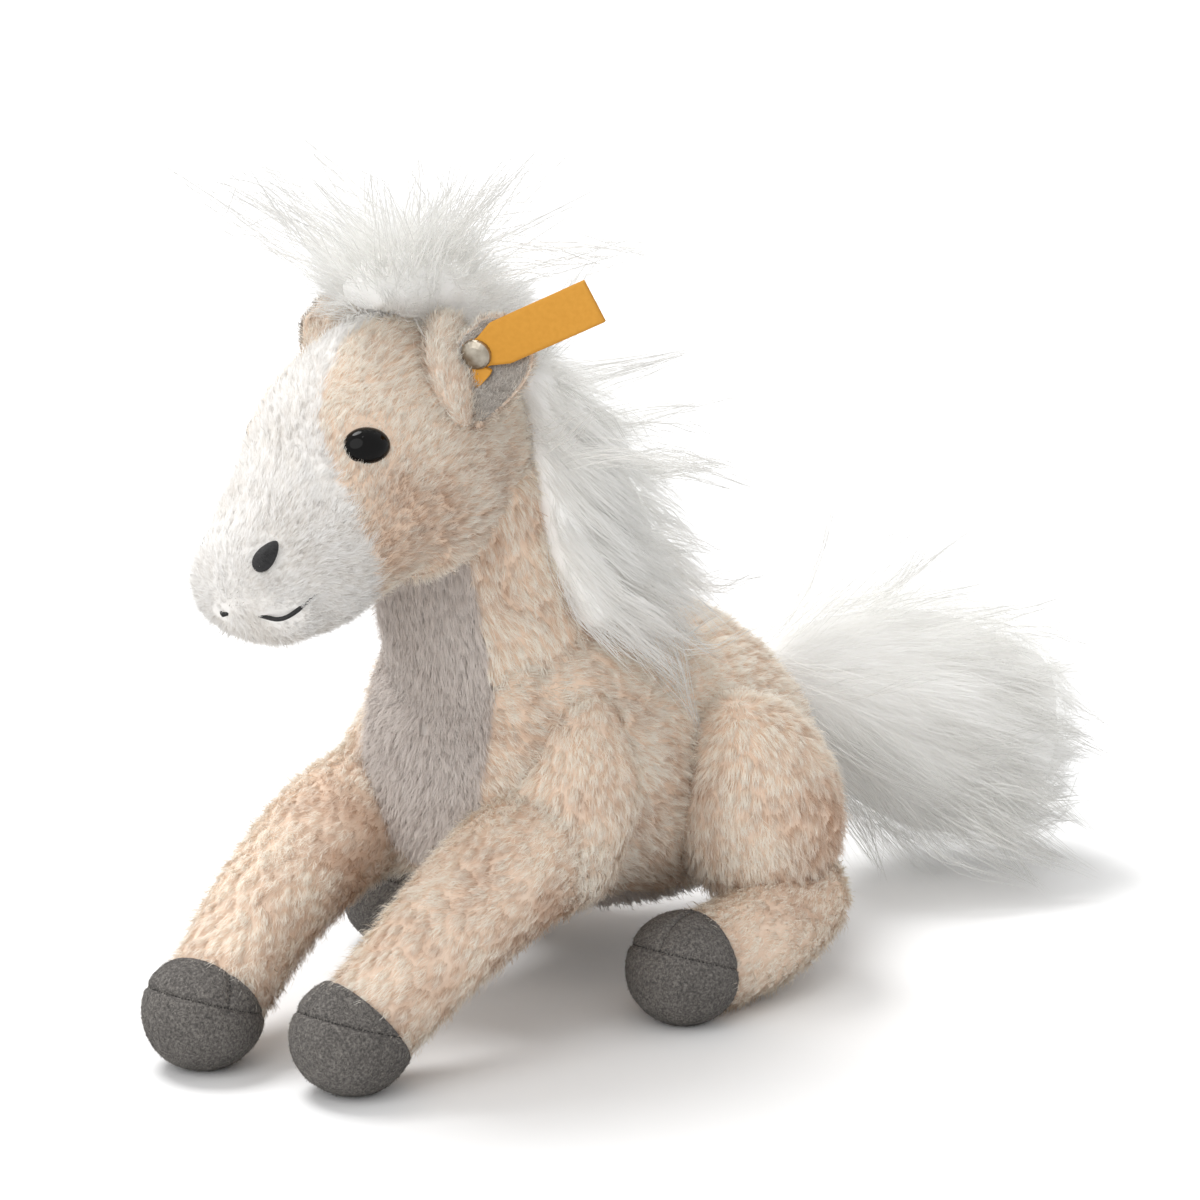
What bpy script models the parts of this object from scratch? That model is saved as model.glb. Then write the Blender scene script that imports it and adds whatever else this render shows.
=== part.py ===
"""Plush horse lying on its belly, with a long-haired mane and tail.

The toy faces -Y, its left side is +X and it rests on Z = 0. The origin is the
middle of its outline on the floor. Every stuffed piece is a form that swells
and tapers along a line of stations, cut back where a larger piece carries it.
All lengths are in metres.
"""

import math

import bmesh
import bpy
import numpy as np
from mathutils import Matrix, Vector
from mathutils.bvhtree import BVHTree

# Driving dimensions
GAP = 0.0003
FLOOR_FLAT = 0.0005
SWEEP_CLEARANCE = 0.0006
SIDES = 20
WIDE_SIDES = 26
NECK_SIDES = 22
SMALL_SIDES = 12
RINGS_PER_SPAN = 3
SMALL_RINGS = 2
CAP_RINGS = 3
SWEEP_SHARES = (0.0, 0.2, 0.4, 0.6, 0.8, 1.0)
SEAM_CUTTER_SHARE = 4.0
FORM_RINGS = 10
THIGH_SIDES = 24
ROUND_RINGS = 12
HOOF_SIDES = 20
THREAD_SIDES = 8
DOME_RINGS = 5
MERGE_DISTANCE = 0.000005
FLOOR_POINT = Vector((0.0, 0.0, 0.0))
DOWN = Vector((0.0, 0.0, -1.0))
SIDE_SIGNS = {"left": 1.0, "right": -1.0}

# Torso: x, y, z of the middle of a section, then its half width and half height
TORSO_STATIONS = [
    (0.0, -0.0635, 0.0690, 0.0270, 0.0330),
    (0.0, -0.0520, 0.0660, 0.0350, 0.0390),
    (0.0, -0.0360, 0.0590, 0.0370, 0.0385),
    (0.0, -0.0150, 0.0530, 0.0350, 0.0380),
    (0.0, 0.0080, 0.0495, 0.0345, 0.0385),
    (0.0, 0.0280, 0.0450, 0.0345, 0.0340),
    (0.0, 0.0420, 0.0430, 0.0290, 0.0270),
]
TORSO_START_CAP = 0.0100
TORSO_END_CAP = 0.0120

# Neck: round about the line that the head turns on
NECK_BASE = Vector((0.0, -0.0440, 0.0760))
NECK_TOP = Vector((0.0, -0.0620, 0.1280))
NECK_BASE_RADIUS = 0.0275
NECK_TOP_RADIUS = 0.0240
NECK_TOP_CAP = 0.0100
HEAD_TURN = math.radians(25)
NECK_BASE_CAP = 0.0080

# Head: from the poll forward and down to the nose
HEAD_STATIONS = [
    (0.0, -0.0660, 0.1400, 0.0225, 0.0250),
    (0.0, -0.0820, 0.1380, 0.0280, 0.0310),
    (0.0, -0.0980, 0.1330, 0.0280, 0.0290),
    (0.0, -0.1090, 0.1250, 0.0250, 0.0230),
    (0.0, -0.1190, 0.1180, 0.0235, 0.0200),
    (0.0, -0.1270, 0.1140, 0.0205, 0.0165),
]
HEAD_TOP_NARROWING_SHARE = 0.30
HEAD_START_CAP = 0.0180
HEAD_END_CAP = 0.0110

# White muzzle, blaze and their seam
MUZZLE_SEAM_POINT = Vector((0.0, -0.1135, 0.1210))
MUZZLE_SEAM_NORMAL = Vector((0.0, -0.9100, -0.4150))
PANEL_DEPTH = 0.0035
BLAZE_HALF_WIDTH = 0.0120
BLAZE_BACK = -0.0880
BLAZE_FRONT = -0.1400
BLAZE_FLOOR = 0.1380
BLAZE_TOP = 0.1900

# Eyes, with a post and a lock washer in an open pocket behind them
EYE_FROM = Vector((0.0, -0.0980, 0.1330))
EYE_TOWARD = Vector((0.0192, -0.1091, 0.1436))
EYE_SEAT = 0.0020
EYE_RADIUS = 0.0054
EYE_RISE = 0.0036
EYE_RIM = 0.0012
EYE_POST_RADIUS = 0.0013
EYE_POST_LENGTH = 0.0075
WASHER_RADIUS = 0.0045
WASHER_THICKNESS = 0.0010
WASHER_DEPTH = 0.0045

# Stitched nostrils and mouth
MUZZLE_MIDDLE = Vector((0.0, -0.1190, 0.1180))
NOSTRIL_TOWARD = Vector((0.0121, -0.1331, 0.1221))
NOSTRIL_TILT = math.radians(-22)
NOSTRIL_HALF_WIDTH = 0.0024
NOSTRIL_HALF_HEIGHT = 0.0036
NOSTRIL_HALF_DEPTH = 0.0012
MOUTH_HALF_ANGLE = math.radians(71)
MOUTH_SLOPE = -0.48
MOUTH_SMILE = 0.35
MOUTH_THREAD_RADIUS = 0.0008
MOUTH_POINTS = 15

# Ears: a leaf that stands out from the side of the poll
EAR_ROOT = Vector((0.0185, -0.0780, 0.1555))
EAR_DIRECTION = Vector((0.66, 0.12, 0.74))
EAR_FACING = Vector((0.62, -0.76, 0.10))
EAR_LENGTH_SHARES = (0.0, 0.30, 0.62, 0.88)
EAR_WIDTH_SHARES = (0.62, 1.0, 0.92, 0.50)
EAR_LENGTH = 0.0175
EAR_HALF_WIDTH = 0.0098
EAR_HALF_THICKNESS = 0.0026
EAR_TIP_CAP = 0.0030
EAR_FOLD_RANGE = (math.radians(-15), math.radians(15))
LINING_HALF_THICKNESS = 0.0010
LINING_LENGTH_SHARE = 0.78
LINING_WIDTH_SHARE = 0.74
LINING_START_SHARE = 0.16

# Plain button and blank ribbon in the left ear
BUTTON_HEIGHT_SHARE = 0.42
BUTTON_RADIUS = 0.0034
BUTTON_RISE = 0.0019
BUTTON_EDGE_SHARE = 0.3
DOME_TOP_SHARE = 0.5
BUTTON_POST_RADIUS = 0.0009
BUTTON_BACK_RADIUS = 0.0026
BUTTON_BACK_THICKNESS = 0.0008
RIBBON_THICKNESS = 0.0009
RIBBON_WIDTH = 0.0100
RIBBON_LENGTH = 0.0300
RIBBON_TAIL = 0.0066
RIBBON_POINT_SHARE = 0.5
RIBBON_DIRECTION = Vector((0.676, 0.567, 0.470))

# Hooves: a rounded pad in two sewn pieces
HOOF_RADII = Vector((0.0136, 0.0140, 0.0133))
HOOF_REST = HOOF_RADII.z - FLOOR_FLAT
HOOF_CUFF_BACK = 0.0045
HOOF_SEAM_RISE = 0.0025
HOOF_SEAM_TILT = math.radians(-22)

# Front legs: round root in the shoulder, forearm reaching forward
SHOULDER = Vector((0.0265, -0.0590, 0.0450))
SHOULDER_RADIUS = 0.0170
FOREARM_STATIONS = [
    (0.0265, -0.0590, 0.0450, 0.0170, 0.0170),
    (0.0260, -0.0740, 0.0410, 0.0165, 0.0160),
    (0.0235, -0.0930, 0.0300, 0.0148, 0.0145),
    (0.0205, -0.1070, 0.0195, 0.0136, 0.0134),
    (0.0185, -0.1160, HOOF_REST, 0.0130, 0.0130),
]
FRONT_REACH = {"left": 0.0, "right": 0.0095}
FRONT_SWING = (math.radians(-8), math.radians(35))

# Hind legs: flat inner side on the hip, shank folded forward along the floor
HIP = Vector((0.0370, 0.0030, 0.0425))
HIP_FLAT = 0.0310
HIP_POCKET_RADIUS = 0.0330
THIGH_RADII = Vector((0.0225, 0.0225, 0.0300))
THIGH_TILT = math.radians(18)
SHANK_STATIONS = [
    (0.0470, 0.0100, 0.0205, 0.0120, 0.0130),
    (0.0480, -0.0040, 0.0160, 0.0132, 0.0138),
    (0.0465, -0.0200, 0.0133, 0.0134, 0.0136),
    (0.0450, -0.0330, HOOF_REST, 0.0130, 0.0130),
]
SHANK_CAP = 0.0110

# Long hair, as the outline of the combed mass
TAIL_STATIONS = [
    (0.0, 0.0510, 0.0600, 0.0060, 0.0060),
    (0.0030, 0.0660, 0.0560, 0.0125, 0.0170),
    (0.0105, 0.0860, 0.0465, 0.0200, 0.0285),
    (0.0200, 0.1045, 0.0375, 0.0235, 0.0320),
    (0.0300, 0.1210, 0.0315, 0.0215, 0.0285),
]
TAIL_END_CAP = 0.0190
TAIL_LIFT = (math.radians(-8), math.radians(40))
MANE_STATIONS = [
    (0.0, -0.0390, 0.1430, 0.0100, 0.0100),
    (0.0010, -0.0300, 0.1270, 0.0135, 0.0130),
    (0.0030, -0.0220, 0.1100, 0.0155, 0.0135),
    (0.0060, -0.0120, 0.0960, 0.0145, 0.0095),
]
MANE_START_CAP = 0.0080
MANE_END_CAP = 0.0070
FORELOCK_STATIONS = [
    (0.0, -0.0560, 0.1660, 0.0150, 0.0110),
    (0.0, -0.0670, 0.1740, 0.0200, 0.0150),
    (0.0, -0.0810, 0.1785, 0.0215, 0.0170),
    (0.0, -0.0950, 0.1780, 0.0170, 0.0130),
]
FORELOCK_START_CAP = 0.0080
FORELOCK_END_CAP = 0.0090

# Chest and belly panels, measured from the middle line
CHEST_HALF_WIDTH = 0.0210
CHEST_TOP = 0.1120
CHEST_SHOULDER = 0.0560
CHEST_POINT = 0.0310
CHEST_BACK = -0.0560
CHEST_FRONT = -0.1100
BELLY_HALF_WIDTH = 0.0180
BELLY_FRONT = -0.0400
BELLY_BACK = 0.0380
BELLY_TOP = 0.0300
BELLY_BOTTOM = -0.0200

# Colour, roughness and metallic value of each material
COLOURS = {
    "tan_plush": ((0.62, 0.44, 0.32, 1.0), 0.95, 0.0),
    "white_plush": ((0.82, 0.79, 0.74, 1.0), 0.95, 0.0),
    "bib_plush": ((0.50, 0.45, 0.41, 1.0), 0.95, 0.0),
    "long_hair": ((0.86, 0.85, 0.82, 1.0), 0.70, 0.0),
    "hoof_suede": ((0.13, 0.12, 0.11, 1.0), 0.95, 0.0),
    "eye_black": ((0.01, 0.01, 0.01, 1.0), 0.08, 0.0),
    "stitch_black": ((0.02, 0.02, 0.02, 1.0), 0.60, 0.0),
    "lining_grey": ((0.33, 0.29, 0.25, 1.0), 0.90, 0.0),
    "button_metal": ((0.42, 0.41, 0.38, 1.0), 0.35, 1.0),
    "ribbon_yellow": ((0.75, 0.40, 0.07, 1.0), 0.70, 0.0),
    "washer_white": ((0.80, 0.80, 0.78, 1.0), 0.45, 0.0),
}


def clear_scene():
    """Remove whatever the file opened with."""
    for item in list(bpy.data.objects):
        bpy.data.objects.remove(item, do_unlink=True)


def make_material(slot):
    """One Principled material, with its colour, roughness and metallic value."""
    colour, roughness, metallic = COLOURS[slot]
    material = bpy.data.materials.new(slot)
    material.use_nodes = True
    shader = material.node_tree.nodes["Principled BSDF"]
    shader.inputs["Base Color"].default_value = colour
    shader.inputs["Roughness"].default_value = roughness
    shader.inputs["Metallic"].default_value = metallic
    material.diffuse_color = colour
    return material


def mesh_from(points, faces, name="form"):
    """A closed mesh from points and faces, its faces turned outward."""
    mesh = bpy.data.meshes.new(name)
    mesh.from_pydata([tuple(p) for p in points], [], faces)
    shell = bmesh.new()
    shell.from_mesh(mesh)
    bmesh.ops.recalc_face_normals(shell, faces=shell.faces)
    shell.to_mesh(mesh)
    shell.free()
    return mesh


def spline_rows(rows, per_span):
    """Rows read from a smooth Catmull-Rom curve through the given rows."""
    rows = np.asarray(rows, float)
    padded = np.vstack([2 * rows[0] - rows[1], rows, 2 * rows[-1] - rows[-2]])
    out = []
    for i in range(len(rows) - 1):
        a, b, c, d = padded[i:i + 4]
        for t in np.arange(per_span) / per_span:
            out.append(0.5 * (2 * b + (c - a) * t + (2 * a - 5 * b + 4 * c - d) * t ** 2
                              + (3 * b - a - 3 * c + d) * t ** 3))
    out.append(rows[-1])
    return np.array(out)


def section_axes(centres, across):
    """The forward, across and up direction of each section along a path."""
    forward = np.gradient(centres, axis=0)
    forward /= np.linalg.norm(forward, axis=1, keepdims=True)
    side = np.asarray(across, float) - forward * (forward @ np.asarray(across, float))[:, None]
    side /= np.linalg.norm(side, axis=1, keepdims=True)
    return forward, side, np.cross(forward, side)


def form(stations, start_cap, end_cap, extra=0.0, across=(1.0, 0.0, 0.0), sides=SIDES,
         per_span=RINGS_PER_SPAN, narrowing_share=0.0):
    """A stuffed form: elliptical sections along a path, closed by rounded ends.

    A narrowing share makes each section an egg, narrow toward forward x across.
    """
    rows = spline_rows(stations, per_span)
    centres = rows[:, :3]
    forward, side, up = section_axes(centres, across)
    angles = 2 * math.pi * np.arange(sides) / sides
    rings = []
    poles = []

    def ring(i, shift, share):
        half = (rows[i, 3:5] + extra) * share
        middle = centres[i] + forward[i] * shift
        wide = np.cos(angles) * (1 - narrowing_share * np.sin(angles)) * half[0]
        rings.append(middle + np.outer(wide, side[i]) + np.outer(np.sin(angles) * half[1], up[i]))

    steps = [math.pi / 2 * k / CAP_RINGS for k in range(CAP_RINGS)]
    for turn in reversed(steps[1:]):
        ring(0, -math.sin(turn) * (start_cap + extra), math.cos(turn))
    for i in range(len(rows)):
        ring(i, 0.0, 1.0)
    for turn in steps[1:]:
        ring(-1, math.sin(turn) * (end_cap + extra), math.cos(turn))
    poles.append(centres[0] - forward[0] * (start_cap + extra))
    poles.append(centres[-1] + forward[-1] * (end_cap + extra))
    points = np.vstack(rings + [np.array(poles)])
    count = len(rings)
    first_pole = count * sides
    faces = []
    for r in range(count - 1):
        for s in range(sides):
            t = (s + 1) % sides
            faces.append((r * sides + s, r * sides + t, (r + 1) * sides + t, (r + 1) * sides + s))
    for s in range(sides):
        t = (s + 1) % sides
        faces.append((first_pole, t, s))
        faces.append((first_pole + 1, (count - 1) * sides + s, (count - 1) * sides + t))
    return mesh_from(points, faces)


def ellipsoid(centre, radii, tilt=0.0, extra=0.0, sides=SIDES, rings=FORM_RINGS):
    """A ball stretched to three radii and tilted about X."""
    shell = bmesh.new()
    bmesh.ops.create_uvsphere(shell, u_segments=sides, v_segments=rings, radius=1.0)
    grown = [r + extra for r in radii]
    place = Matrix.Translation(centre) @ Matrix.Rotation(tilt, 4, "X") @ Matrix.Diagonal((*grown, 1.0))
    bmesh.ops.transform(shell, matrix=place, verts=shell.verts)
    mesh = bpy.data.meshes.new("ball")
    shell.to_mesh(mesh)
    shell.free()
    return mesh


def axis_matrix(origin, direction, across=None):
    """A frame whose Z runs along direction and whose X is near across."""
    z = Vector(direction).normalized()
    guess = Vector(across) if across else Vector((0.0, 0.0, 1.0))
    x = (guess - z * guess.dot(z)).normalized()
    y = z.cross(x)
    turn = Matrix((x, y, z)).transposed().to_4x4()
    return Matrix.Translation(origin) @ turn


def lathe(profile, place, sides=SIDES):
    """A turned solid: radius and height pairs about Z, moved by a matrix."""
    points = []
    for radius, height in profile:
        for s in range(sides):
            turn = 2 * math.pi * s / sides
            points.append(Vector((radius * math.cos(turn), radius * math.sin(turn), height)))
    low = len(points)
    points.append(Vector((0.0, 0.0, profile[0][1])))
    points.append(Vector((0.0, 0.0, profile[-1][1])))
    faces = []
    for r in range(len(profile) - 1):
        for s in range(sides):
            t = (s + 1) % sides
            faces.append((r * sides + s, r * sides + t, (r + 1) * sides + t, (r + 1) * sides + s))
    for s in range(sides):
        t = (s + 1) % sides
        faces.append((low, t, s))
        faces.append((low + 1, (len(profile) - 1) * sides + s, (len(profile) - 1) * sides + t))
    return mesh_from([place @ p for p in points], faces)


def prism(outline, place, low, high):
    """A straight solid: an outline in the XY plane between two heights, moved by a matrix."""
    count = len(outline)
    points = [place @ Vector((x, y, low)) for x, y in outline]
    points += [place @ Vector((x, y, high)) for x, y in outline]
    faces = [tuple(range(count)), tuple(range(2 * count - 1, count - 1, -1))]
    for i in range(count):
        j = (i + 1) % count
        faces.append((i, j, count + j, count + i))
    return mesh_from(points, faces)


def block(low, high):
    """A rectangular solid between two corners."""
    outline = [(low[0], low[1]), (high[0], low[1]), (high[0], high[1]), (low[0], high[1])]
    return prism(outline, Matrix.Identity(4), low[2], high[2])


def sliced(mesh, point, normal):
    """What is left of a mesh behind a plane, closed flat there."""
    shell = bmesh.new()
    shell.from_mesh(mesh)
    everything = shell.verts[:] + shell.edges[:] + shell.faces[:]
    cut = bmesh.ops.bisect_plane(shell, geom=everything, plane_co=point, plane_no=normal,
                                 clear_outer=True)
    edges = [e for e in cut["geom_cut"] if isinstance(e, bmesh.types.BMEdge)]
    if edges:
        bmesh.ops.holes_fill(shell, edges=edges)
    bmesh.ops.recalc_face_normals(shell, faces=shell.faces)
    out = bpy.data.meshes.new("slice")
    shell.to_mesh(out)
    shell.free()
    return out


def beyond(point, normal):
    """A large block that fills the space in front of a plane, as a cutter."""
    reach = SEAM_CUTTER_SHARE * max(station[4] for station in HEAD_STATIONS)
    outline = [(-reach, -reach), (reach, -reach), (reach, reach), (-reach, reach)]
    return prism(outline, axis_matrix(point, normal, (1.0, 0.0, 0.0)), 0.0, reach)


def moved(mesh, matrix):
    """A copy of a mesh, moved by a matrix."""
    copy = mesh.copy()
    copy.transform(matrix)
    if matrix.determinant() < 0:
        copy.flip_normals()
    return copy


def combined(mesh, steps):
    """A mesh after a list of exact Boolean steps, each an operation and a cutter mesh."""
    base = bpy.data.objects.new("work", mesh.copy())
    bpy.context.collection.objects.link(base)
    cutters = []
    for operation, cutter_mesh in steps:
        cutter = bpy.data.objects.new("cutter", cutter_mesh)
        bpy.context.collection.objects.link(cutter)
        cutter.hide_render = True
        cutter.display_type = "WIRE"
        step = base.modifiers.new("step", "BOOLEAN")
        step.operation = operation
        step.solver = "EXACT"
        step.object = cutter
        cutters.append(cutter)
    bpy.context.view_layer.update()
    graph = bpy.context.evaluated_depsgraph_get()
    result = bpy.data.meshes.new_from_object(base.evaluated_get(graph))
    for item in [base] + cutters:
        bpy.data.objects.remove(item, do_unlink=True)
    shell = bmesh.new()
    shell.from_mesh(result)
    bmesh.ops.remove_doubles(shell, verts=shell.verts, dist=MERGE_DISTANCE)
    bmesh.ops.dissolve_degenerate(shell, edges=shell.edges, dist=MERGE_DISTANCE)
    shell.to_mesh(result)
    shell.free()
    return result


def less(mesh, *cutters):
    """A mesh with other meshes cut away."""
    return combined(mesh, [("DIFFERENCE", cutter) for cutter in cutters])


def swing_matrix(pivot, axis, angle):
    """A turn about an axis through a pivot."""
    return Matrix.Translation(pivot) @ Matrix.Rotation(angle, 4, axis) @ Matrix.Translation(-pivot)


def swept(mesh, pivot, axis, limits):
    """One convex cutter round every place that a mesh reaches through its swing."""
    low, high = limits
    hull = bmesh.new()
    for share in SWEEP_SHARES:
        turn = swing_matrix(pivot, axis, low + (high - low) * share)
        for vertex in mesh.vertices:
            hull.verts.new(turn @ vertex.co)
    bmesh.ops.convex_hull(hull, input=hull.verts[:])
    inside = [v for v in hull.verts if not v.link_faces]
    bmesh.ops.delete(hull, geom=inside, context="VERTS")
    bmesh.ops.recalc_face_normals(hull, faces=hull.faces)
    out = bpy.data.meshes.new("sweep")
    hull.to_mesh(out)
    hull.free()
    return out


def add_node(name, mesh, slot, origin=None):
    """One named sub-part, with its origin on its joint's axis where it moves."""
    mesh.name = name
    item = bpy.data.objects.new(name, mesh)
    bpy.context.collection.objects.link(item)
    mesh.materials.clear()
    mesh.materials.append(make_material(slot))
    mesh.shade_smooth()
    mesh.set_sharp_from_angle(angle=math.radians(50))
    if origin is not None:
        mesh.transform(Matrix.Translation(-Vector(origin)))
        item.location = origin
    return item


def torso_form(extra=0.0):
    """The torso's skin, grown by an extra."""
    return form(TORSO_STATIONS, TORSO_START_CAP, TORSO_END_CAP, extra, sides=WIDE_SIDES)


def neck_form(extra=0.0):
    """The neck's skin: a tapering round form from the withers to the poll."""
    stations = [
        (*NECK_BASE, NECK_BASE_RADIUS, NECK_BASE_RADIUS),
        (*NECK_TOP, NECK_TOP_RADIUS, NECK_TOP_RADIUS),
    ]
    return form(stations, NECK_BASE_CAP, NECK_TOP_CAP, extra, sides=NECK_SIDES)


def head_form(extra=0.0):
    """The head's skin, narrower toward its top."""
    return form(HEAD_STATIONS, HEAD_START_CAP, HEAD_END_CAP, extra, sides=WIDE_SIDES,
                narrowing_share=HEAD_TOP_NARROWING_SHARE)


def forearm_stations(side):
    """The forearm's stations on one side, stretched forward by that side's reach."""
    sign = SIDE_SIGNS[side]
    span = FOREARM_STATIONS[0][1] - FOREARM_STATIONS[-1][1]
    out = []
    for x, y, z, wide, high in FOREARM_STATIONS:
        share = (FOREARM_STATIONS[0][1] - y) / span
        out.append((sign * x, y - FRONT_REACH[side] * share, z, wide, high))
    return out


def forearm_form(side, extra=0.0):
    """A front leg's skin, from its round shoulder into the hoof."""
    return form(forearm_stations(side), SHOULDER_RADIUS, HOOF_RADII.y, extra)


def shank_form(side, extra=0.0):
    """A shank's skin, from the hock into the hoof."""
    sign = SIDE_SIGNS[side]
    stations = [(sign * x, y, z, wide, high) for x, y, z, wide, high in SHANK_STATIONS]
    return form(stations, SHANK_CAP, HOOF_RADII.y, extra)


def thigh_form(side, extra=0.0):
    """A thigh's skin: a tilted ball stretched upward."""
    centre = Vector((SIDE_SIGNS[side] * HIP.x, HIP.y, HIP.z))
    return ellipsoid(centre, THIGH_RADII, THIGH_TILT, extra, THIGH_SIDES, ROUND_RINGS)


def tail_form(extra=0.0):
    """The outline of the tail's hair, from its root to its tip."""
    return form(TAIL_STATIONS, TAIL_STATIONS[0][3], TAIL_END_CAP, extra)


def mane_form(extra=0.0):
    """The outline of the mane's hair along the crest."""
    return form(MANE_STATIONS, MANE_START_CAP, MANE_END_CAP, extra)


def forelock_form(extra=0.0):
    """The outline of the forelock's hair over the poll."""
    return form(FORELOCK_STATIONS, FORELOCK_START_CAP, FORELOCK_END_CAP, extra)


def ear_axes(side):
    """The ear's length, width and facing directions on one side."""
    mirror = Matrix.Diagonal((SIDE_SIGNS[side], 1.0, 1.0)).to_3x3()
    along = (mirror @ EAR_DIRECTION).normalized()
    facing = mirror @ EAR_FACING
    facing = (facing - along * facing.dot(along)).normalized()
    return along, along.cross(facing).normalized(), facing


def ear_root(side):
    """The middle of an ear's fold line."""
    return Vector((SIDE_SIGNS[side] * EAR_ROOT.x, EAR_ROOT.y, EAR_ROOT.z))


def ear_form(side, extra=0.0):
    """The ear's leaf: wide in the middle, round about its fold line at the root."""
    along, wide, facing = ear_axes(side)
    stations = []
    for length_share, width_share in zip(EAR_LENGTH_SHARES, EAR_WIDTH_SHARES):
        centre = ear_root(side) + along * EAR_LENGTH * length_share
        stations.append((*centre, EAR_HALF_WIDTH * width_share, EAR_HALF_THICKNESS))
    return form(stations, EAR_HALF_THICKNESS, EAR_TIP_CAP, extra, tuple(wide), SMALL_SIDES, SMALL_RINGS)


def lining_form(side, extra=0.0):
    """The short-nap lining: a thinner leaf let into the ear's open face."""
    along, wide, facing = ear_axes(side)
    stations = []
    for length_share, width_share in zip(EAR_LENGTH_SHARES, EAR_WIDTH_SHARES):
        distance = EAR_LENGTH * (LINING_START_SHARE + LINING_LENGTH_SHARE * length_share)
        centre = ear_root(side) + along * distance + facing * EAR_HALF_THICKNESS
        stations.append((*centre, EAR_HALF_WIDTH * LINING_WIDTH_SHARE * width_share, LINING_HALF_THICKNESS))
    cap = LINING_HALF_THICKNESS
    return form(stations, cap, cap, extra, tuple(wide), SMALL_SIDES, SMALL_RINGS)


def chest_prism(extra=0.0):
    """The bib's outline seen from the front: straight sides, then a point between the legs."""
    wide = CHEST_HALF_WIDTH + extra
    outline = [
        (-wide, CHEST_TOP + extra),
        (-wide, CHEST_SHOULDER),
        (0.0, CHEST_POINT - extra),
        (wide, CHEST_SHOULDER),
        (wide, CHEST_TOP + extra),
    ]
    face_front = Matrix.Rotation(math.pi / 2, 4, "X")
    return prism(outline, face_front, -CHEST_BACK - extra, -CHEST_FRONT)


def belly_prism(extra=0.0):
    """The block that marks off the belly panel."""
    low = (-BELLY_HALF_WIDTH - extra, BELLY_FRONT - extra, BELLY_BOTTOM)
    high = (BELLY_HALF_WIDTH + extra, BELLY_BACK + extra, BELLY_TOP + extra)
    return block(low, high)


def blaze_prism(extra=0.0):
    """The block that marks off the blaze."""
    low = (-BLAZE_HALF_WIDTH - extra, BLAZE_FRONT, BLAZE_FLOOR - extra)
    high = (BLAZE_HALF_WIDTH + extra, BLAZE_BACK + extra, BLAZE_TOP)
    return block(low, high)


def panel(outer, inner, region):
    """A plush panel: the skin of a form inside a region, as deep as a pile."""
    return combined(outer, [("INTERSECT", region), ("DIFFERENCE", inner)])


def body_outline(extra=0.0):
    """Torso and neck as one skin."""
    return combined(torso_form(extra), [("UNION", neck_form(extra))])


def build_torso():
    """Torso and neck, with the white bib and belly let into their skin."""
    inner = body_outline(-PANEL_DEPTH)
    inner_clear = body_outline(-PANEL_DEPTH - GAP)
    outer_clear = body_outline(GAP)
    sockets = []
    for side in SIDE_SIGNS:
        sign = SIDE_SIGNS[side]
        pivot = Vector((sign * SHOULDER.x, SHOULDER.y, SHOULDER.z))
        sockets.append(swept(forearm_form(side, SWEEP_CLEARANCE), pivot, "X", FRONT_SWING))
        hip = axis_matrix(Vector((sign * HIP_FLAT, HIP.y, HIP.z)), (sign, 0.0, 0.0))
        profile = [(HIP_POCKET_RADIUS, 0.0), (HIP_POCKET_RADIUS, HIP_POCKET_RADIUS)]
        sockets.append(lathe(profile, hip, sides=2 * SIDES))
    tail_root = Vector(TAIL_STATIONS[0][:3])
    sockets.append(swept(tail_form(SWEEP_CLEARANCE), tail_root, "X", TAIL_LIFT))
    chest_groove = combined(outer_clear, [("INTERSECT", chest_prism(GAP)), ("DIFFERENCE", inner_clear)])
    belly_groove = combined(outer_clear, [("INTERSECT", belly_prism(GAP)), ("DIFFERENCE", inner_clear)])
    torso = less(torso_form(), *[s.copy() for s in sockets])
    torso = less(torso, belly_groove, chest_groove.copy())
    neck = less(neck_form(), torso_form(GAP), chest_groove)
    chest = less(panel(body_outline(), inner.copy(), chest_prism()), *[s.copy() for s in sockets])
    belly = less(panel(torso_form(), inner, belly_prism()), *sockets)
    add_node("torso", torso, "tan_plush")
    add_node("neck", neck, "tan_plush")
    add_node("chest_panel", chest, "bib_plush")
    add_node("belly_panel", belly, "white_plush")


def head_surface(start, toward, side="left"):
    """Where a line from inside the head leaves its surface, and the surface's direction there."""
    mirror = Matrix.Diagonal((SIDE_SIGNS[side], 1.0, 1.0)).to_3x3()
    shell = bmesh.new()
    shell.from_mesh(head_form())
    tree = BVHTree.FromBMesh(shell)
    shell.free()
    point, normal, _, _ = tree.ray_cast(start, (toward - start).normalized())
    return mirror @ point, mirror @ normal


def eye_place(side):
    """The eye's frame: Z looks out of the head, and the origin is sunk by its seat."""
    point, normal = head_surface(EYE_FROM, EYE_TOWARD, side)
    return axis_matrix(point - normal * EYE_SEAT, normal)


def dome_turns():
    """The angles of a dome's rings, from its edge to just short of its top."""
    return [math.pi / 2 * k / DOME_RINGS for k in range(DOME_RINGS)]


def eye_profile():
    """Post, rim and dome of a pressed-in plastic eye, from the post's end to the dome."""
    dome = [(EYE_RADIUS * math.cos(a), EYE_RISE * math.sin(a))
            for a in dome_turns()]
    return [(EYE_POST_RADIUS, -EYE_POST_LENGTH), (EYE_POST_RADIUS, -EYE_RIM), (EYE_RADIUS, -EYE_RIM)] + dome \
        + [(EYE_POST_RADIUS * DOME_TOP_SHARE, EYE_RISE)]


def eye_pocket(side):
    """The open seat behind the eye, deep enough for the post and washer."""
    wide = EYE_RADIUS + GAP
    profile = [(wide, -EYE_POST_LENGTH - GAP), (wide, EYE_RADIUS)]
    return lathe(profile, eye_place(side))


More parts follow.
